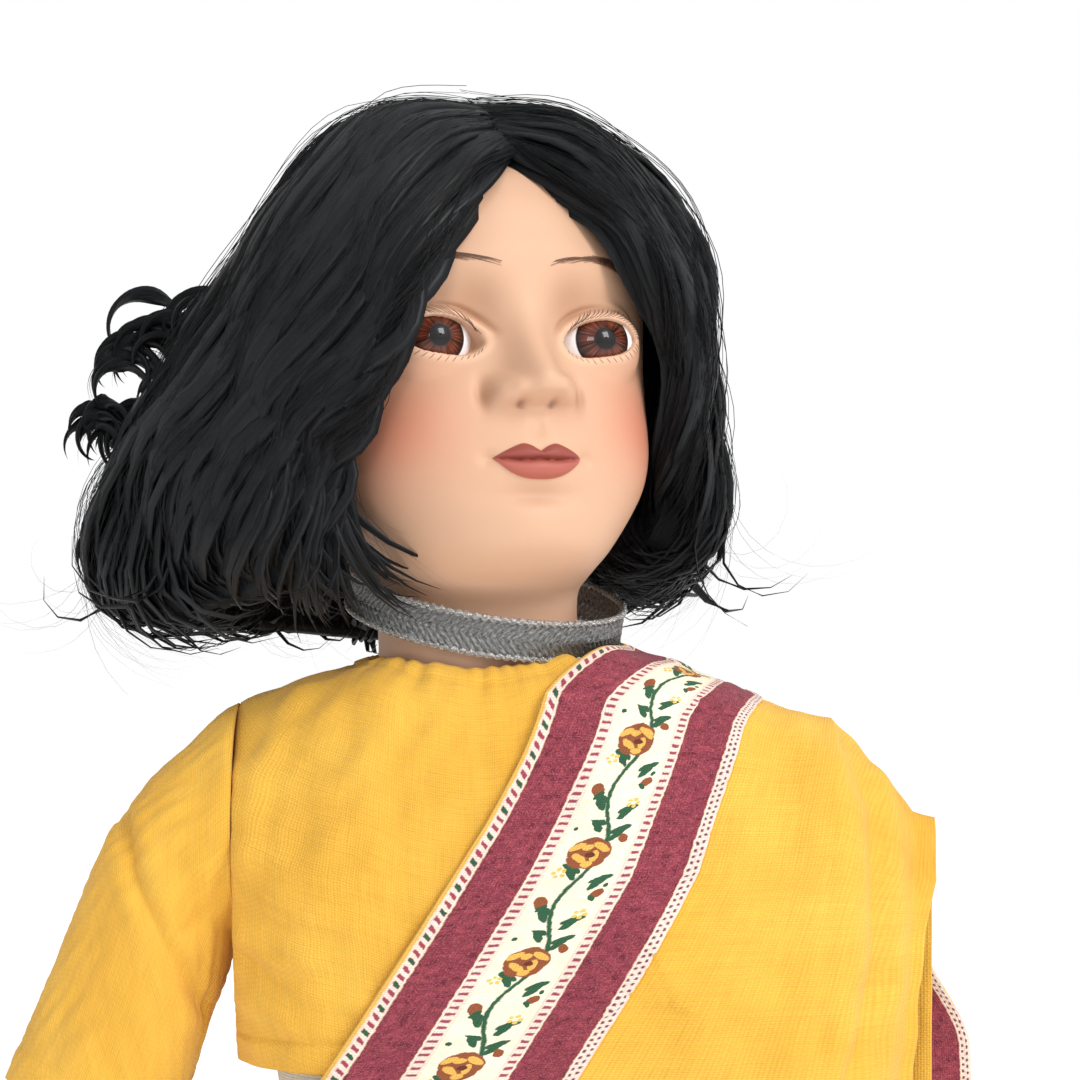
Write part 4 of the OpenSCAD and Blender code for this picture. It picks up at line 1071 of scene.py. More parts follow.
def blouse_surface(rows=120, columns=300):
    """Rays from the middle of the chest: first tilted up to the neckline, then level to the hem. Past
    the armhole's plane the cloth lies flat against it. Humps and grooves along drawn lines make the folds."""
    around = np.linspace(-np.pi - 0.16, np.pi + 0.16, columns)[None, :] - np.pi / 2
    first = rows * 2 // 5
    rise = np.radians(57.5) * (1 - np.linspace(0, 1, first, endpoint=False)) ** 1.0
    rise = np.concatenate([rise, np.zeros(rows - first)])[:, None]
    level = np.concatenate([np.full(first, 318.0), np.linspace(318, 275.6, rows - first)])[:, None]
    way = np.stack([np.cos(around) * np.cos(rise), np.sin(around) * np.cos(rise),
                    np.sin(rise) + 0 * around], -1)
    start = np.zeros_like(way)
    start[..., 2] = level
    reach = wrap_reach(start, way, body_balls(4.6))
    points = start + way * reach[..., None]
    x, y, z = points[..., 0], points[..., 1], points[..., 2]
    lap = step(np.broadcast_to(around, x.shape), np.pi / 2 - 0.12, np.pi / 2 + 0.02)
    front = step(-y, 2, 12)
    swell = np.zeros_like(x)
    for line, width, high in (
        ([(-18.8, 352), (-26.5, 333)], 3.4, -0.45),
        ([(-12.2, 349), (-14.7, 325)], 3.0, -0.4),
        ([(-31.9, 323), (-35.9, 304)], 3.2, -0.4),
        ([(-6.0, 348), (-9.0, 330)], 3.5, 0.35),
        ([(-24, 318), (-27, 296), (-26, 282)], 3.2, -0.45),
        ([(-44, 300), (-38, 296), (-31, 297)], 1.5, 0.9),
        ([(-44, 297), (-37, 292.5), (-31, 293)], 1.6, -0.6),
        ([(-41, 290), (-34, 284)], 1.8, 0.5),
        ([(-30.8, 351), (-36.4, 342), (-41, 330), (-43.5, 314)], 2.6, 0.9),
        ([(-28.6, 349), (-33.6, 340), (-37.6, 329), (-40.0, 314)], 1.6, -0.45),
    ):
        swell += high * fold_line(x, z, line, width)
    swell = np.maximum(swell * front + 0.3 * soft_ripple(around * 30, z, 5), -0.75)
    reach_edge = np.cumsum(np.linalg.norm(np.diff(points, axis=0, prepend=points[:1]), axis=-1), 0)
    from_hem = reach_edge[-1:] - reach_edge
    gathers = np.sin(around * 41 + 2.2 * np.sin(around * 5)) * np.exp(-reach_edge / 4.5)
    swell += 0.22 * gathers
    swell += 0.5 * (1 - step(reach_edge, 2.6, 3.4)) - 0.35 * bell(reach_edge, 3.3, 0.45)
    swell += 0.45 * (1 - step(from_hem, 5.0, 5.8)) - 0.35 * bell(from_hem, 5.6, 0.5)
    points = points + way * (swell + 1.0 * lap)[..., None]
    points[..., 0] = np.clip(points[..., 0], -45.85, 45.85)
    uv = np.stack(np.broadcast_arrays((around + np.pi) * 38, reach_edge), -1)
    return points, uv


blouse_points, blouse_cut = blouse_surface()
blouse = cloth_piece("blouse_cotton", blouse_points, yellow_cotton, blouse_cut)
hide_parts("blouse")
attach(blouse, "torso")

# ---------- sleeves ----------
# Set-in short sleeves of the same cotton. The cap folds where the arm leaves the shoulder, and each
# swings with its arm; the open end is turned under and stitched.

def sleeve_surface(side, lean, cap, inner, outer, depth, length, creases, fan=26, tube=52, around=120):
    """Rings round the arm: they fan about the armpit from upright to square with the arm, then run along
    it. A ring is an oval that starts at the armpit edge, inner and outer from the arm's line, depth wide."""
    tilt = math.radians(lean)
    pivot = np.array([-46.35, 300.0])
    seam = np.array([-51.3, SHOULDER_MM])
    down = np.array([-math.sin(tilt), -math.cos(tilt)])
    out = np.array([-math.cos(tilt), math.sin(tilt)])
    start = float((pivot - seam) @ down)
    close = -float((pivot - seam) @ out)
    beta = np.linspace(0, math.pi / 2 - tilt, fan)
    ways = np.stack([-np.sin(beta), np.cos(beta)], -1)
    far = smooth_through(np.array(cap), np.linspace(0, len(cap) - 1, fan))
    far[-1] = close + outer[0]
    along = np.linspace(start, length, tube + 1)[1:]
    share = (along - start) / (length - start)
    near = close + (inner - close) * share
    away = outer[0] + (outer[1] - outer[0]) * share
    root = np.concatenate([np.repeat(pivot[None], fan, 0),
                           seam + along[:, None] * down - near[:, None] * out])
    ways = np.concatenate([ways, np.repeat(out[None], tube, 0)])
    far = np.concatenate([far, near + away])
    half = np.concatenate([depth[0] + (depth[1] - depth[0]) * np.linspace(0, 1, fan),
                           depth[1] + (depth[2] - depth[1]) * share])
    turn = np.linspace(0, 2 * np.pi, around)
    lift = (1 - np.cos(turn)) / 2
    wide = np.sign(np.sin(turn)) * np.abs(np.sin(turn)) ** 0.85
    points = np.empty((fan + tube, around, 3))
    points[..., 0] = root[:, :1] + ways[:, :1] * far[:, None] * lift
    points[..., 2] = root[:, 1:] + ways[:, 1:] * far[:, None] * lift
    points[..., 1] = -half[:, None] * wide
    x, z = points[..., 0].copy(), points[..., 2].copy()
    normal = grid_normals(points)
    middle = points.mean(1, keepdims=True)
    normal *= np.sign(((points - middle) * normal).sum(-1, keepdims=True) + 1e-9)
    normal[:, 0] = normal[:, -1] = (normal[:, 1] + normal[:, -2]) / 2
    front = step(-points[..., 1], 1, 7)
    swell = 0.28 * soft_ripple(x, z + 3 * points[..., 1], 17)
    for line, width, high in creases:
        swell += high * fold_line(x, z, line, width) * front
    reach_edge = np.cumsum(np.linalg.norm(np.diff(points, axis=0, prepend=points[:1]), axis=-1), 0)
    from_hem = (length - np.concatenate([np.zeros(fan) - 50, along]))[:, None]
    swell += 0.5 * (1 - step(from_hem, 5.4, 6.2)) - 0.35 * bell(from_hem, 6.0, 0.5)
    start_ease = step(np.arange(fan + tube), 0, 4)[:, None]
    points = points + normal * (swell * start_ease)[..., None]
    points[..., 0] = np.minimum(points[..., 0], -46.33)
    uv = np.stack(np.broadcast_arrays(turn * 17, reach_edge), -1)
    if side > 0:
        points = points * [-1, 1, 1]
        points = points[:, ::-1]
    return points, uv


right_creases = [
    ([(-67.2, 322.2), (-64.2, 310.8), (-57.5, 296.6), (-51.1, 283)], 1.7, -1.5),
    ([(-69.6, 320.5), (-67.2, 311), (-61, 297), (-54.5, 284)], 2.2, 0.8),
    ([(-63.5, 322), (-60.5, 311), (-54, 297)], 2.2, 0.6),
    ([(-49.8, 332.2), (-56.3, 314.3)], 3.6, -0.8),
    ([(-72, 300), (-78, 284), (-81, 275)], 3.2, -0.6),
    ([(-60, 290), (-68, 277)], 2.8, 0.45),
    ([(-47, 312), (-51, 305), (-55, 301)], 1.5, -0.7),
]
sleeve_points, sleeve_cut = sleeve_surface(
    -1, 22, [42.7, 36.5, 33.2, 31.0, 29.9, 29.8], 15.0, (17.3, 17.4), (17.2, 17.2, 16.2), 60.0,
    right_creases)
left_points, left_cut = sleeve_surface(
    1, 12, [41.0, 36.0, 32.0, 29.5, 28.6, 28.2], 11.5, (13.0, 12.2), (15.2, 13.6, 11.8), 60.0, [])
for label, points, cut in (("right", sleeve_points, sleeve_cut), ("left", left_points, left_cut)):
    sleeve = cloth_piece("sleeve_cotton_" + label, points, yellow_cotton, cut)
    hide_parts("sleeve_" + label)
    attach(sleeve, "arm_" + label)

# ---------- sari over the shoulder ----------
# The free end of the sari, one layer of starched yellow cotton. It crosses the chest from the waist,
# goes over the left shoulder and the arm, and hangs down the back.

def drape_place(share, run, grown):
    """Where the cloth lies: share goes across it, 0 at the inner edge, 36 at the printed band's far edge and
    100 at the outer edge; run goes along it, 0 to 1 up the front, to 2 over the shoulder, to 3 down the back.
    Rays go forwards, then fan over the shoulder, then backwards, out to the skin round body and arm."""
    share, run = np.broadcast_arrays(np.asarray(share, float), np.asarray(run, float))
    up, over, down = np.clip(run, 0, 1), np.clip(run - 1, 0, 1), np.clip(run - 2, 0, 1)
    fan = np.pi * over
    level = 264.6 + (322 - 264.6) * (up - down)
    guess = np.where(run <= 1, level, 322 + 25 * np.sin(fan))
    slope = 16 + 0.64 * (np.minimum(guess, 350) - 345)
    inner = np.where(run <= 1.5, slope, 16.0)
    widths = np.interp(np.where(run <= 1.5, guess, 350), [262, 270, 295.6, 312.9, 345],
                       [47.2, 47, 46.4, 44.9, 35])
    edge = np.interp(guess, [262, 286, 319.6, 350], [81.8, 83.7, 87.3, 87.3])
    band = inner + widths * np.clip(share, 0, 36) / 36
    beyond = np.clip((share - 36) / 64, 0, 1)
    x = band + (edge - inner - widths) * beyond
    clip_x = np.where(x > 62, 62 + 15.5 * (1 - np.exp(-(x - 62) / 15.5)), x)
    start = np.stack([clip_x, np.zeros_like(x), level], -1)
    way = np.stack([np.zeros_like(x), -np.cos(fan), np.sin(fan)], -1)
    balls = body_balls(grown)
    arm = np.array([[62.3, 0, SHOULDER_MM - 2, 14.5 + grown], [58.8, 0, 262, 20 + grown]])
    reach = wrap_reach(start, way, np.concatenate([balls, arm]))
    thin = 1 - 0.80 * step(x, 66, 87)
    y = way[..., 1] * reach * thin
    z = level + way[..., 2] * reach
    drop = np.interp(x, [60, 67.3, 76.9, 83, 88], [0, -0.8, 8.0, 14.2, 14.8])
    z = z - drop * step(z, 298, 332)
    near_neck = step(z, 333, 343)
    keep = np.sqrt(np.clip(28.0 ** 2 - y ** 2, 0, None))
    room = np.clip(1 - (x - 14) / 46, 0, 1)
    x = x + near_neck * np.maximum(keep[:, :1] - x[:, :1], 0) * room
    return np.stack([x, y, z], -1)


def drape_folds(points):
    """The folds of the sari: a deep groove beside the arm, drag lines from the shoulder, soft folds down the
    back and a faint ripple.
    """
    x, y, z = points[..., 0], points[..., 1], points[..., 2]
    front = step(-y, -1, 4)
    swell = np.zeros_like(x)
    for line, width, high in (
        ([(70, 336), (74.6, 324), (74.8, 293.6), (67.3, 268)], 1.9, -1.9),
        ([(76.5, 330), (78.6, 318), (79.0, 296), (75.5, 268)], 2.0, 0.9),
        ([(65, 335), (69.5, 322), (69.8, 296), (63, 268)], 3.2, 0.8),
        ([(54, 345), (57, 325), (56, 300), (49, 268)], 4.5, -0.7),
        ([(47, 342), (49, 322), (46, 300), (36, 268)], 4.0, 0.6),
        ([(60, 342), (63, 325), (62.5, 300), (57, 268)], 3.0, 0.5),
        ([(83.5, 318), (83, 300), (80.5, 268)], 1.4, -0.8),
    ):
        swell += high * fold_line(x, z, line, width) * front
    back = step(y, 1, 8)
    swell += back * 0.7 * np.sin(x / 5.2 + 0.6 * np.sin(z / 23)) * step(350 - z, 6, 40)
    swell += 0.22 * soft_ripple(x, z, 23)
    return swell


def drape_surface(shares, runs, grown, lift=0.0):
    """The drape's place with its folds added along the normal that points away from the body."""
    points = drape_place(shares, runs, grown)
    normal = grid_normals(points)
    outward = points - [50, 0, 312]
    normal *= np.sign((normal * outward).sum(-1, keepdims=True) + 1e-9)
    swell = drape_folds(points)
    return points + normal * (swell + lift)[..., None]


def along_grid(points, start=0.0):
    """Length along the rows of a grid, measured on its middle column."""
    middle = points[:, points.shape[1] // 2]
    return start + np.concatenate([[0], np.linalg.norm(np.diff(middle, axis=0), axis=-1).cumsum()])[:, None]


run_rows = np.concatenate([np.linspace(0, 1, 90, endpoint=False), np.linspace(1, 2, 70, endpoint=False),
                           np.linspace(2, 3, 60)])[:, None]
drape_shares = np.concatenate([np.linspace(0, 36, 60, endpoint=False), np.linspace(36, 100, 110)])[None, :]
drape_points = drape_surface(drape_shares, run_rows, 6.0)
across_mm = np.where(drape_shares < 36, drape_shares, 36 + (drape_shares - 36) * 0.5)
drape_cut = np.stack(np.broadcast_arrays(across_mm, along_grid(drape_points)), -1)
drape = cloth_piece("sari_drape_cotton", drape_points, yellow_cotton, drape_cut)
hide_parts("sari_drape")
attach(drape, "torso")


# ---------- printed border ----------
# A band of printed cotton 36 mm wide, sewn along the sari's edge: dashed pale stripes, mottled maroon
# bands and a cream middle with a climbing vine of roses, buds, leaves and five-dot flowers.

def mix_in(tree, base, color, mask):
    """color over base where mask is 1."""
    mixed = tree.nodes.new("ShaderNodeMix")
    mixed.data_type = "RGBA"
    tree.links.new(mask, mixed.inputs[0])
    for value, place in ((base, 6), (color, 7)):
        if isinstance(value, bpy.types.NodeSocket):
            tree.links.new(value, mixed.inputs[place])
        else:
            mixed.inputs[place].default_value = (*value, 1)
    return mixed.outputs[2]


def band_print_group():
    """The print drawn from stripes across, dashes along and ovals for petals and leaves, all with soft,
    slightly wandering edges. Cut's x is across the band from 0 to 36, its y along it, in mm."""
    group = bpy.data.node_groups.new("band_print", "ShaderNodeTree")
    group.interface.new_socket("Cut", in_out="INPUT", socket_type="NodeSocketVector")
    group.interface.new_socket("Ground", in_out="INPUT", socket_type="NodeSocketColor")
    group.interface.new_socket("Color", in_out="OUTPUT", socket_type="NodeSocketColor")
    given = group.nodes.new("NodeGroupInput").outputs
    result = group.nodes.new("NodeGroupOutput").inputs

    def sum_of(kind, a, b=0.0, c=0.0, clamp=False):
        """One Math node of this kind."""
        made = add(group, "ShaderNodeMath", {0: a, 1: b, 2: c}, operation=kind)
        made.use_clamp = clamp
        return made.outputs[0]

    wander = add(group, "ShaderNodeTexNoise", {"Vector": given["Cut"], "Scale": 0.9, "Detail": 3.0})
    shift = add(group, "ShaderNodeVectorMath", {0: wander.outputs["Color"], 1: (0.5, 0.5, 0.5)},
                operation="SUBTRACT")
    moved = add(group, "ShaderNodeVectorMath", {0: shift.outputs[0], 1: (0.62, 0.62, 0.0), 2: given["Cut"]},
                operation="MULTIPLY_ADD")
    split = add(group, "ShaderNodeSeparateXYZ", {0: moved.outputs[0]}).outputs
    across, along = split[0], split[1]

    def between(value, low, high, soft=0.22):
        """1 where value lies between low and high, with soft edges."""
        rising = sum_of("MULTIPLY_ADD", value, 1 / soft, 0.5 - low / soft, clamp=True)
        falling = sum_of("MULTIPLY_ADD", value, -1 / soft, 0.5 + high / soft, clamp=True)
        return sum_of("MULTIPLY", rising, falling)

    def repeat(value, pitch, offset=0.0):
        """The remainder of value plus offset by pitch, never below 0."""
        moved_on = sum_of("ADD", value, offset)
        return sum_of("MODULO", sum_of("ADD", sum_of("MODULO", moved_on, pitch), pitch), pitch)

    def oval(x, y, wide, long, turn, value_x, value_y, soft=0.25):
        """1 inside an oval about (x, y), turned by turn, with a soft edge."""
        cos, sin = math.cos(turn), math.sin(turn)
        dx, dy = sum_of("SUBTRACT", value_x, x), sum_of("SUBTRACT", value_y, y)
        one = sum_of("MULTIPLY_ADD", dx, cos / wide, sum_of("MULTIPLY", dy, sin / wide))
        two = sum_of("MULTIPLY_ADD", dx, -sin / long, sum_of("MULTIPLY", dy, cos / long))
        square = sum_of("MULTIPLY_ADD", one, one, sum_of("MULTIPLY", two, two))
        return sum_of("MULTIPLY_ADD", square, -1 / soft, 1 / soft + 0.5, clamp=True)

    def any_of(masks):
        """The largest of the masks."""
        total = masks[0]
        for other in masks[1:]:
            total = sum_of("MAXIMUM", total, other)
        return total

    blotch = add(group, "ShaderNodeTexNoise",
                 {"Vector": given["Cut"], "Scale": 0.55, "Detail": 5.0, "Roughness": 0.7})
    maroon = add(group, "ShaderNodeValToRGB", {"Fac": blotch.outputs["Fac"]})
    maroon.color_ramp.elements[0].position = 0.36
    maroon.color_ramp.elements[0].color = (0.13, 0.016, 0.032, 1)
    maroon.color_ramp.elements[1].position = 0.64
    maroon.color_ramp.elements[1].color = (0.31, 0.048, 0.078, 1)
    pale = (0.86, 0.70, 0.60)
    cream = (0.93, 0.86, 0.66)
    green = (0.030, 0.105, 0.052)
    brown = (0.29, 0.085, 0.035)
    gold = (0.80, 0.46, 0.10)

    color = given["Ground"]
    color = mix_in(group, color, gold, between(across, 0.0, 0.8))
    color = mix_in(group, color, pale, between(across, 0.8, 3.0))
    color = mix_in(group, color, maroon.outputs[0], between(across, 3.0, 11.0))
    color = mix_in(group, color, pale, between(across, 11.0, 13.3))
    color = mix_in(group, color, cream, between(across, 13.3, 24.2))
    color = mix_in(group, color, pale, between(across, 24.2, 26.2))
    color = mix_in(group, color, maroon.outputs[0], between(across, 26.2, 33.8))
    color = mix_in(group, color, pale, between(across, 33.8, 36.0))

    slanted = sum_of("MULTIPLY_ADD", across, 0.9, along)
    dash = between(repeat(slanted, 1.75), 0.35, 1.15)
    color = mix_in(group, color, (0.36, 0.06, 0.09), sum_of("MULTIPLY", dash, between(across, 1.2, 2.6)))
    leaf_dash = between(repeat(slanted, 5.25, 1.75), 0.35, 1.2)
    color = mix_in(group, color, green, sum_of("MULTIPLY", leaf_dash, between(across, 1.3, 2.5)))
    tick = between(repeat(along, 1.5), 0.35, 0.95)
    color = mix_in(group, color, (0.34, 0.06, 0.09), sum_of("MULTIPLY", tick, between(across, 11.4, 12.9)))
    color = mix_in(group, color, (0.34, 0.06, 0.09), sum_of("MULTIPLY", tick, between(across, 24.6, 25.8)))
    for row in (34.4, 35.3):
        spot = sum_of("MULTIPLY", between(repeat(along, 1.3, row), 0.3, 0.9),
                      between(across, row - 0.24, row + 0.24))
        color = mix_in(group, color, (0.20, 0.04, 0.08), spot)
    for low, high in ((3.2, 10.8), (26.4, 33.6)):
        fleck = between(sum_of("FRACT", sum_of("MULTIPLY", blotch.outputs["Fac"], 9.0)), 0.06, 0.20, 0.06)
        color = mix_in(group, color, (0.50, 0.13, 0.13),
                       sum_of("MULTIPLY", fleck, between(across, low, high)))

    step_y = sum_of("SUBTRACT", repeat(along, 23.0), 11.5)
    middle = sum_of("SUBTRACT", across, 18.8)
    sway = sum_of("MULTIPLY", sum_of("SINE", sum_of("MULTIPLY", step_y, 2 * math.pi / 23)), 1.5)
    stem = sum_of("SUBTRACT", middle, sway)
    vine = between(stem, -0.36, 0.36, 0.25)
    leaves = []
    for y, side, x in ((-10.2, 1, 0.6), (-8.2, -1, -0.6), (-1.4, 1, 1.2), (0.6, -1, 0.0), (8.6, 1, 0.8),
                       (10.4, -1, 0.5)):
        for k, spread in enumerate((0.55, 1.05)):
            leaves.append(oval(x + side * (1.7 + 0.2 * k), y + 0.9 * k, 0.62, 1.75, -side * spread, middle,
                               step_y))
    color = mix_in(group, color, green,
                   sum_of("MULTIPLY", any_of([vine] + leaves), between(across, 13.6, 24.0)))
    rose_x, rose_y = -0.5, 4.6
    petals = [oval(rose_x + 2.0 * math.cos(a), rose_y + 2.0 * math.sin(a), 1.25, 1.9, a, middle, step_y)
              for a in (0.3, 1.55, 2.8, 4.05, 5.3)]
    color = mix_in(group, color, brown,
                   any_of(petals + [oval(rose_x, rose_y, 2.6, 2.6, 0, middle, step_y)]))
    inner = [oval(rose_x + far * math.cos(a), rose_y + far * math.sin(a), 0.62, long, a + lean, middle,
                  step_y)
             for a, far, long, lean in ((0.7, 2.1, 1.5, 0.3), (1.9, 1.3, 0.9, 0), (2.6, 2.4, 1.3, -0.4),
                                        (3.9, 1.5, 1.4, 0.2), (4.9, 2.3, 0.9, 0), (5.8, 1.2, 1.2, 0.5))]
    color = mix_in(group, color, gold, any_of(inner))
    color = mix_in(group, color, (0.14, 0.035, 0.02),
                   oval(rose_x + 0.4, rose_y - 0.3, 0.75, 0.55, 0, middle, step_y))
    buds = [oval(-3.6, -5.6, 1.0, 1.4, 0.5, middle, step_y),
            oval(3.7, -3.6, 0.8, 1.1, -0.6, middle, step_y),
            oval(3.6, 7.6, 0.75, 1.0, 0.4, middle, step_y)]
    color = mix_in(group, color, brown, any_of(buds))
    sepals = [oval(-3.1, -6.8, 0.5, 1.0, -0.7, middle, step_y),
              oval(3.2, -4.6, 0.42, 0.8, 0.7, middle, step_y),
              oval(4.3, -1.9, 0.42, 0.42, 0, middle, step_y),
              oval(-4.2, 9.6, 0.42, 0.42, 0, middle, step_y)]
    color = mix_in(group, color, green, any_of(sepals))
    dots = [oval(3.0 + 0.75 * math.cos(a), -8.0 + 0.75 * math.sin(a), 0.36, 0.36, 0, middle, step_y)
            for a in (0, 1.257, 2.513, 3.770, 5.027)]
    dots += [oval(-3.4 + 0.75 * math.cos(a), 0.6 + 0.75 * math.sin(a), 0.36, 0.36, 0, middle, step_y)
             for a in (0.6, 1.857, 3.113, 4.370, 5.627)]
    color = mix_in(group, color, (0.82, 0.55, 0.14), any_of(dots))
    group.links.new(color, result["Color"])
    return group


band_print = band_print_group()


def printed_cotton(name, ground):
    """The print laid on the weave: the thread pattern darkens it between the threads as painted shade and
    roughens it, as it does the plain cloth.
    """
    material, tree, shader = new_material(name)
    cut = add(tree, "ShaderNodeUVMap", uv_map="cut").outputs["UV"]
    picture = tree.nodes.new("ShaderNodeGroup")
    picture.node_tree = band_print
    tree.links.new(cut, picture.inputs["Cut"])
    picture.inputs["Ground"].default_value = (*ground, 1)
    weave = tree.nodes.new("ShaderNodeGroup")
    weave.node_tree = plain_weave
    tree.links.new(cut, weave.inputs["Cut"])
    tree.links.new(picture.outputs["Color"], weave.inputs["Color"])
    weave.inputs["Threads"].default_value = 2.1
    bump = add(tree, "ShaderNodeBump",
               {"Height": weave.outputs["Height"], "Strength": 0.55, "Distance": 0.00012})
    tree.links.new(weave.outputs["Color"], shader.inputs["Base Color"])
    tree.links.new(weave.outputs["Roughness"], shader.inputs["Roughness"])
    tree.links.new(bump.outputs[0], shader.inputs["Normal"])
    shader.inputs["Specular IOR Level"].default_value = 0.25
    shader.inputs["Sheen Weight"].default_value = 0.08
    return material


printed_border = printed_cotton("printed_border", (0.85, 0.485, 0.068))
band_shares = np.linspace(0, 36, 84)[None, :]
band_points = drape_surface(band_shares, run_rows, 6.0, lift=0.75)
band_cut = np.stack(np.broadcast_arrays(band_shares, along_grid(band_points)), -1)
band = cloth_piece("drape_border_band", band_points, printed_border, band_cut, thick=0.5)
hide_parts("drape_border")
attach(band, "torso")

# ---------- sari end ----------
# The loose end of the sari, which falls from the shoulder down the back and over the skirt in soft
# upright folds, with the printed border down its outer edge.

def tail_surface(share0, share1, columns, rows=130, lift=0.0):
    """At the top it lies on the drape's back; from there it swings out to a sheet that leans back with the
    skirt, in sine folds that grow towards the bottom. share runs across it from 0 to 1."""
    share = np.linspace(share0, share1, columns)[None, :]
    z = np.linspace(318.0, 160.0, rows)[:, None]
    over = np.interp(share, [0, 0.493, 1], [0, 36, 100])
    run = 2 + np.clip((322 - z) / 57.4, 0, 1)
    lain = drape_surface(over, run, 6.0)
    x = 16 + 86 * share
    lean = 27.4 + np.maximum(260 - z, 0) * 0.228
    grow = 0.5 + 0.9 * step(289 - z, 10, 120)
    wave = np.sin((x - 16) / 6.4 + 0.5 * np.sin(z / 31)) * 1.7 + np.sin((x - 16) / 3.1 + z / 40) * 0.35
    hung_x = x - 3.0 + 1.2 * np.sin(z / 27) * step(x, 60, 102)
    hung_y = lean + grow * (wave + 1.2) + 1.5 * step(z, 240, 289) * step(x, 70, 98)
    swing = 1 - step(z, 272, 297)
    points = np.stack([lain[..., 0] + (hung_x - lain[..., 0]) * swing,
                       lain[..., 1] + 1.6 + (hung_y - lain[..., 1] - 1.6) * (1 - step(z, 276, 312)) + lift,
                       lain[..., 2] + (z - lain[..., 2]) * (1 - step(z, 266, 306))], -1)
    cut = np.stack(np.broadcast_arrays(x - 66.0, 318 - z), -1)
    return points, cut


tail_points, tail_cut = tail_surface(0, 1, 130)
tail = cloth_piece("sari_end_cotton", tail_points, printed_border, tail_cut)
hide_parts("sari_tail")
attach(tail, "torso")
edge_points, edge_cut = tail_surface(0.5814, 1, 84, lift=0.75)
tail_band = cloth_piece("sari_end_border", edge_points, printed_border, edge_cut, thick=0.5)
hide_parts("tail_border")
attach(tail_band, "torso")

# ---------- petticoat and sari skirt ----------
# A white lining cotton petticoat on a waistband, and over it the sari wound into a skirt of yellow cotton
# with a printed border at the hem and four knife pleats that fall from the waist in front.

def stadium_reach(around, half, radius):
    """Distance from the middle to the edge of a round-ended shape: circles of radius at -half and half."""
    c, s = np.abs(np.cos(around)), np.abs(np.sin(around))
    flat = radius / np.maximum(s, 1e-6)
    reach_end = half * c + np.sqrt(np.maximum(radius ** 2 - (half * s) ** 2, 0))
    return np.where(flat * c <= half, flat, reach_end)


def skirt_reach(around, z, grown):
    """The skirt's plain form: two long round shapes, one straight from waist to hem and one with the hips'
    width between, whichever is further out."""
    share = np.clip(z / 262, 0, 1)
    plain = stadium_reach(around, 11 * share, 78 - 56 * share + grown)
    above = np.clip((262 - z) / 44, 0, 1)
    hip_half, hip_round = 11 + above, 22 + 8 * above
    below = np.clip(z / 218, 0, 1)
    hips = stadium_reach(around, 12 * below, 78 - 48 * below + grown)
    upper = stadium_reach(around, hip_half, hip_round + grown)
    return np.maximum(plain, np.where(z > 218, upper, hips))


def skirt_folds(around, z):
    """Upright folds, always outwards: uneven cosine waves that begin at the waist and grow to the hem."""
    fall = np.clip((262 - z) / 262, 0, 1)
    drift = around + 0.05 * np.sin(3 * around + z / 70)
    wave = 0.55 * np.cos(17 * drift + 0.8 * np.sin(2 * around)) + 0.3 * np.cos(29 * drift + 1.3)
    wave += 0.25 * np.cos(7 * drift + 0.4)
    fine = 0.35 * np.cos(61 * drift + z / 30) * np.exp(-(262 - z) / 22)
    return (wave + 0.85) * (0.45 + 3.3 * fall ** 0.9) + fine + 0.3


def skirt_surface(z_top, z_low, grown, rows, columns=420, start=0.0, sweep=2 * np.pi, folds=1.0, lift=0.0):
    """The plain form with its folds, from a start angle round a sweep, in the plane and up."""
    around = (np.linspace(0, sweep, columns) + start)[None, :]
    z = np.linspace(z_top, z_low, rows)[:, None]
    far = skirt_reach(around, z, grown) + folds * skirt_folds(around, z) + lift
    points = np.stack(np.broadcast_arrays(far * np.cos(around), far * np.sin(around), z), -1)
    cut = np.stack(np.broadcast_arrays(around * 50, z), -1)
    return points, cut


lining_cotton = woven_cloth("lining_cotton", (0.82, 0.80, 0.76), threads=2.4, deep=(0.74, 0.72, 0.68))
petti_points, petti_cut = skirt_surface(261.5, 1.2, 0.5, 120, start=np.pi / 2 - 0.02,
                                        sweep=2 * np.pi + 0.04, folds=0.0)
petticoat = cloth_piece("petticoat_lining", petti_points, lining_cotton, petti_cut, thick=0.5)
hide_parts("petticoat")
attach(petticoat, "torso")

around_band = np.linspace(0, 2 * np.pi, 220)[None, :]
band_z = np.linspace(252.5, 261.2, 14)[:, None]
band_far = stadium_reach(around_band, 11 + 0 * band_z, 21.6 + (261.2 - band_z) * 0.15)
band_far = band_far + 0.25 * np.cos(75 * around_band) * np.sin(np.pi * (band_z - 252.5) / 8.7)
waist_points = np.stack(np.broadcast_arrays(band_far * np.cos(around_band), band_far * np.sin(around_band),
                                            band_z), -1)
waist_cut = np.stack(np.broadcast_arrays(around_band * 30, band_z), -1)
waistband = cloth_piece("petticoat_band", waist_points, lining_cotton, waist_cut, thick=0.9)
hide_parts("petticoat_waistband")
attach(waistband, "torso")

skirt_points, skirt_cut = skirt_surface(262.6, 0.4, 1.6, 190, columns=560, start=np.pi / 2 - 0.02,
                                        sweep=2 * np.pi + 0.04)
skirt = cloth_piece("sari_skirt_cotton", skirt_points, yellow_cotton, skirt_cut)
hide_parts("sari_skirt")
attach(skirt, "torso")
hem_points, hem_cut = skirt_surface(39, 3, 1.6, 50, columns=520, start=-np.pi / 2 + 0.30, sweep=5.58,
                                    lift=0.8)
hem_cut = hem_cut[..., ::-1] - [3, 0]
hem_band = cloth_piece("sari_skirt_border", hem_points, printed_border, hem_cut, thick=0.5)
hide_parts("skirt_border")
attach(hem_band, "torso")


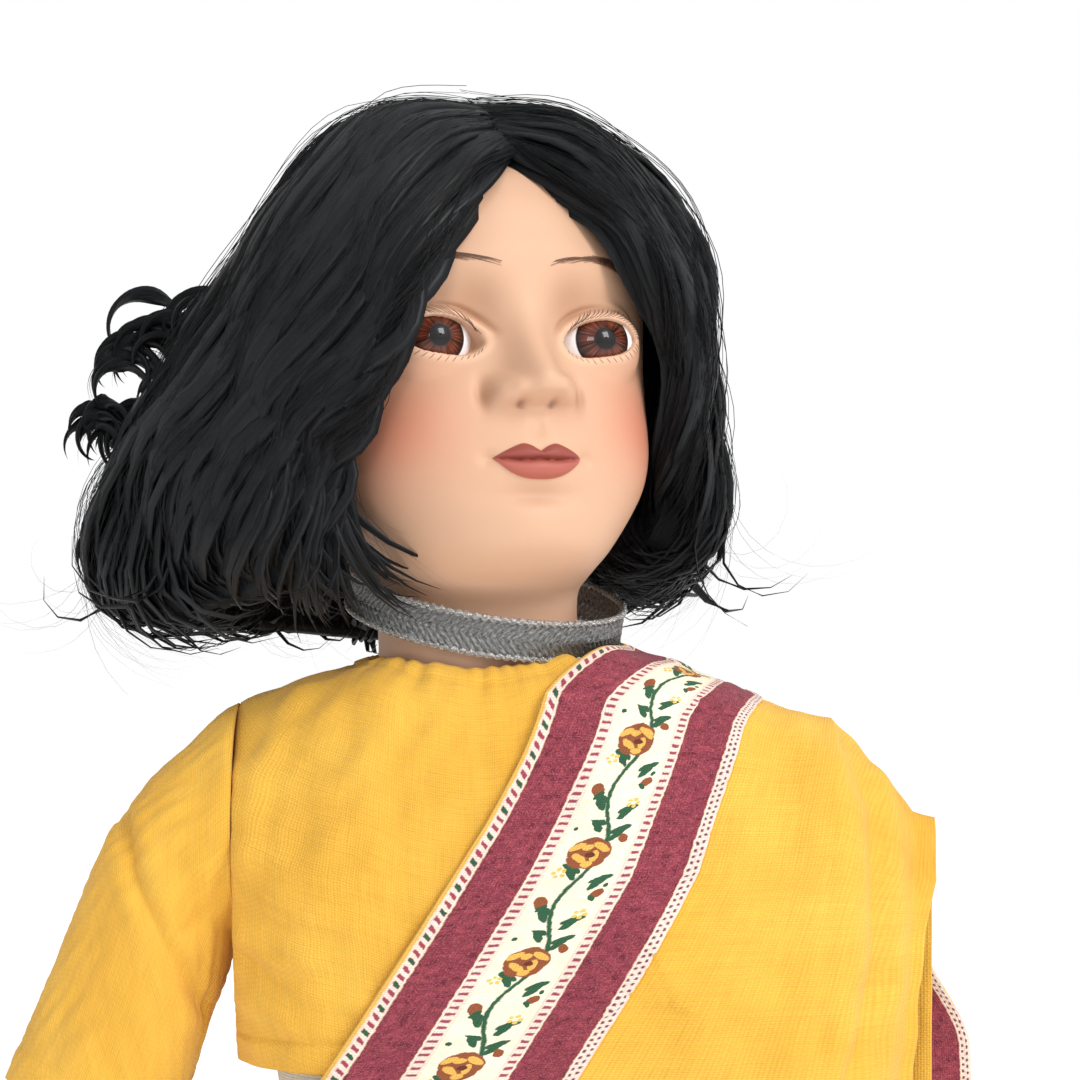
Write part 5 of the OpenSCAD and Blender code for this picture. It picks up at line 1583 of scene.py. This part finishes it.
def pleat_surface(rows=110, columns=420):
    """One sheet in a zigzag: each pass goes across a pleat, then back behind the next, on the skirt's front.
    The depth grows steadily along the sheet, and the turns are rounded."""
    along = np.linspace(0, 7, columns)[None, :]
    z = np.linspace(256, 4, rows)[:, None]
    fall = (262 - z) / 262
    half = 6.5 + (14.95 - 6.5) * fall
    zigzag = 2 / np.pi * np.arcsin(0.985 * np.sin(np.pi * (along - 0.5)))
    middle = 6 - 5 * np.clip((along - 0.5) / 2, 0, 3)
    x = middle + half * zigzag
    angle = np.arctan2(-1.0, x / np.maximum(30 + 48 * fall, 1))
    reach = skirt_reach(angle, z, 3.6)
    y = -np.sqrt(np.maximum(reach ** 2 - x ** 2, 4)) - 0.62 * along - 3.2 * fall - 0.5
    swing = 0.7 * fall * np.sin(along * np.pi + z / 45)
    points = np.stack(np.broadcast_arrays(x + swing, y + 0.25 * swing, z + 0 * x), -1)
    cut = np.stack(np.broadcast_arrays(z - 4 + 0 * x, along * 22), -1)
    return points, cut


pleat_points, pleat_cut = pleat_surface()
pleats = cloth_piece("sari_front_pleats", pleat_points, printed_border, pleat_cut, thick=0.45)
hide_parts("sari_pleats")
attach(pleats, "torso")

# ---------- stuffed body ----------
# Torso, upper arms and thighs of unbleached cloth, sewn and filled firmly with fibre. They dent along
# the seams and pucker where the thread pulls.

body_cloth = woven_cloth("body_cloth", (0.72, 0.66, 0.55), threads=1.9, deep=(0.66, 0.60, 0.49))


def stuffed_tube(top, low, radius_top, radius_low, rows=70, columns=72, seed=3):
    """A limb between two points with round ends; a groove down its inner seam with puckers along it."""
    top, low = np.asarray(top, float), np.asarray(low, float)
    length = np.linalg.norm(top - low)
    down = (low - top) / length
    side = np.cross(down, [0, 1.0, 0])
    side /= np.linalg.norm(side)
    ahead = np.cross(side, down)
    t = np.linspace(0, np.pi, rows)[:, None]
    turn = (np.arange(columns) * 2 * np.pi / columns)[None, :]
    travel = (length + radius_top + radius_low) * (1 - np.cos(t)) / 2 - radius_top
    share = np.clip(travel / length, 0, 1)
    body = radius_top + (radius_low - radius_top) * share
    end = np.where(travel < 0, -travel, np.where(travel > length, travel - length, 0))
    size = np.sqrt(np.maximum(body ** 2 - end ** 2, 0.0))
    seam = bell(np.angle(np.exp(1j * (turn - np.pi))), 0, 0.16)
    dent = -0.7 * seam * (0.75 + 0.25 * np.sin(travel * 2.1)) + 0.18 * soft_ripple(turn * 9, travel, seed)
    far = np.maximum(size + dent * np.sin(t) - 0.25, 0.02)
    points = (top + down * travel[..., None] + side * (far * np.cos(turn))[..., None]
              + ahead * (far * np.sin(turn))[..., None])
    cut = np.stack(np.broadcast_arrays(turn * body.mean(), travel), -1)
    return points, cut


def stuffed_piece(name, points, cut, node, body):
    """A closed stuffed form, with its pole rings shut by fans."""
    rows, columns = points.shape[:2]
    ring = np.arange(columns)
    after = (ring + 1) % columns
    every = np.concatenate([points.reshape(-1, 3), points[0].mean(0)[None], points[-1].mean(0)[None]])
    uv = np.concatenate([cut.reshape(-1, 2), cut[0].mean(0)[None], cut[-1].mean(0)[None]])
    last = (rows - 1) * columns
    caps = np.concatenate([np.stack([ring, after, ring * 0 + rows * columns, ring * 0 + rows * columns],
                                    -1),
                           np.stack([last + after, last + ring, ring * 0 + rows * columns + 1,
                                     ring * 0 + rows * columns + 1], -1)])
    quads = grid_faces(rows, columns, close_columns=True)
    faces = np.concatenate([quads, caps])
    mesh = bpy.data.meshes.new(name)
    mesh.from_pydata((every * 0.001).tolist(), [], [tuple(dict.fromkeys(face)) for face in faces.tolist()])
    layer = mesh.uv_layers.new(name="cut")
    corners = np.empty(len(mesh.loops), np.int32)
    mesh.loops.foreach_get("vertex_index", corners)
    layer.uv.foreach_set("vector", uv[corners].astype(np.float32).ravel())
    mesh.polygons.foreach_set("use_smooth", np.ones(len(mesh.polygons), bool))
    mesh.materials.append(body_cloth)
    piece = bpy.data.objects.new(name, mesh)
    bpy.context.collection.objects.link(piece)
    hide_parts(node)
    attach(piece, body)
    return piece


def torso_surface(columns=200):
    """Outside, level rays out to the skin round collar, shoulders, bust, waist and hips, closed below by a
    round; the top rim turns in to an upright well with a flat floor, where the neck cup and bolt sit."""
    around = (np.arange(columns) * 2 * np.pi / columns)[None, :]
    level = 214.4 + (344.0 - 214.4) * np.linspace(0, 1, 100)[:, None] ** 1.15
    balls = np.array([(side * x, y, z, r) for x, y, z, r in (
        (15, 14, NECK_MM - 3.5, 6), (15, -14, NECK_MM - 3.5, 6), (37, 0, NECK_MM - 13, 9),
        (22, -3, NECK_MM - 35, 21), (11, 0, 260, 20), (14, 1, 222, 20)) for side in (-1, 1)])
    flat = np.stack(np.broadcast_arrays(np.cos(around), np.sin(around), 0 * level), -1)
    start = np.stack(np.broadcast_arrays(0 * around, 0 * around, level), -1)
    far = wrap_reach(start, flat, balls)
    seam = bell(np.angle(np.exp(1j * (around - np.pi / 2))), 0, 0.05)
    far = far - 0.5 - 0.6 * seam + 0.2 * soft_ripple(around * 30, level, 8)
    far *= np.sqrt(1 - 0.92 * (1 - step(level, 214, 219)))
    outside = start + flat * far[..., None]
    outside[..., 0] = np.clip(outside[..., 0], -45.8, 45.8)
    rim = far[-1:] - 0.8
    depth = np.linspace(344.6, 299.6, 24)[:, None]
    well = np.minimum(23.6, rim)
    inside = np.stack(np.broadcast_arrays(well * np.cos(around), well * np.sin(around), depth), -1)
    shrink = np.linspace(0.95, 0.05, 8)[:, None]
    floor = np.stack(np.broadcast_arrays(well * shrink * np.cos(around), well * shrink * np.sin(around),
                                         299.4 + 0 * shrink), -1)
    points = np.concatenate([outside, inside, floor])
    cut = np.stack(np.broadcast_arrays(around * 34, np.cumsum(np.full((len(points), 1), 1.3), 0)), -1)
    return points, cut


torso_points, torso_cut = torso_surface()
stuffed_piece("stuffed_torso", torso_points, torso_cut, "torso", "torso")

for label, side, lean in (("right", -1, 22), ("left", 1, 12)):
    tilt = math.radians(lean)
    seam = np.array([side * 51.3, 0, SHOULDER_MM])
    elbow = seam + 66 * np.array([side * math.sin(tilt), 0, -math.cos(tilt)])
    arm_points, arm_cut = stuffed_tube(seam, elbow, 10.0, 7.9, seed=31)
    arm_points[..., 0] = side * np.maximum(side * arm_points[..., 0], 46.4)
    stuffed_piece("stuffed_arm_" + label, arm_points, arm_cut, "upper_arm_" + label, "arm_" + label)
    thigh_points, thigh_cut = stuffed_tube((side * 16, 0, 200), (side * 16, 0, 121.7), 13.4, 9.9, seed=37)
    stuffed_piece("stuffed_thigh_" + label, thigh_points, thigh_cut, "thigh_" + label, "leg_" + label)


# ---------- castings and fittings ----------
# Hands, feet and shoulder plate are matte bisque like the head. The neck fittings are plated steel,
# the crown is foam under a net, the eyes are set in plaster, and waxed twine ties the limbs.

def speckled(name, low, high, scale, rough, metal=0.0, relief=0.00004, stretch=(1.0, 1.0, 1.0)):
    """Noise on the piece's own coordinates moves colour from low to high, with roughness and height."""
    material, tree, shader = new_material(name)
    where = add(tree, "ShaderNodeTexCoord").outputs["Object"]
    drawn = add(tree, "ShaderNodeMapping", {"Vector": where, "Scale": stretch}).outputs[0]
    grain = add(tree, "ShaderNodeTexNoise", {"Vector": drawn, "Scale": scale, "Detail": 4.0}).outputs["Fac"]
    tint = add(tree, "ShaderNodeValToRGB", {"Fac": grain})
    for stop, place, color in zip(tint.color_ramp.elements, (0.35, 0.65), (low, high)):
        stop.position = place
        stop.color = (*color, 1)
    dull = add(tree, "ShaderNodeMapRange", {"Value": grain, "To Min": rough - 0.07, "To Max": rough + 0.07})
    bump = add(tree, "ShaderNodeBump", {"Height": grain, "Strength": 0.6, "Distance": relief})
    tree.links.new(tint.outputs[0], shader.inputs["Base Color"])
    tree.links.new(dull.outputs[0], shader.inputs["Roughness"])
    tree.links.new(bump.outputs[0], shader.inputs["Normal"])
    shader.inputs["Metallic"].default_value = metal
    return material


cast_bisque = speckled("cast_bisque", (0.59, 0.35, 0.225), (0.63, 0.385, 0.252), 60, 0.52)
nickel = speckled("nickel_plate", (0.46, 0.45, 0.43), (0.60, 0.59, 0.57), 420, 0.30, 1.0, 0.00001)
twine = speckled("waxed_twine", (0.50, 0.42, 0.30), (0.68, 0.60, 0.46), 260, 0.74, 0.0, 0.0002, (1, 1, 5))
foam = speckled("crown_foam", (0.66, 0.63, 0.56), (0.82, 0.80, 0.74), 700, 0.90, 0.0, 0.0002)
plaster = speckled("eye_plaster", (0.74, 0.72, 0.68), (0.86, 0.85, 0.81), 240, 0.86, 0.0, 0.0001)
net = speckled("wig_net", (0.012, 0.011, 0.011), (0.045, 0.040, 0.038), 900, 0.88, 0.0, 0.0003)
fittings = {
    cast_bisque: "shoulder_plate forearm_right forearm_left lower_leg_right lower_leg_left",
    nickel: "neck_bolt head_washer neck_spring lower_washer neck_nut blouse_snaps",
    twine: "arm_tie_right arm_tie_left leg_tie_right leg_tie_left",
    foam: "pate",
    plaster: "eye_plaster_right eye_plaster_left",
    net: "wig_cap"}
for material, nodes in fittings.items():
    for node in nodes.split():
        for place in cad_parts[node].material_slots:
            place.material = material
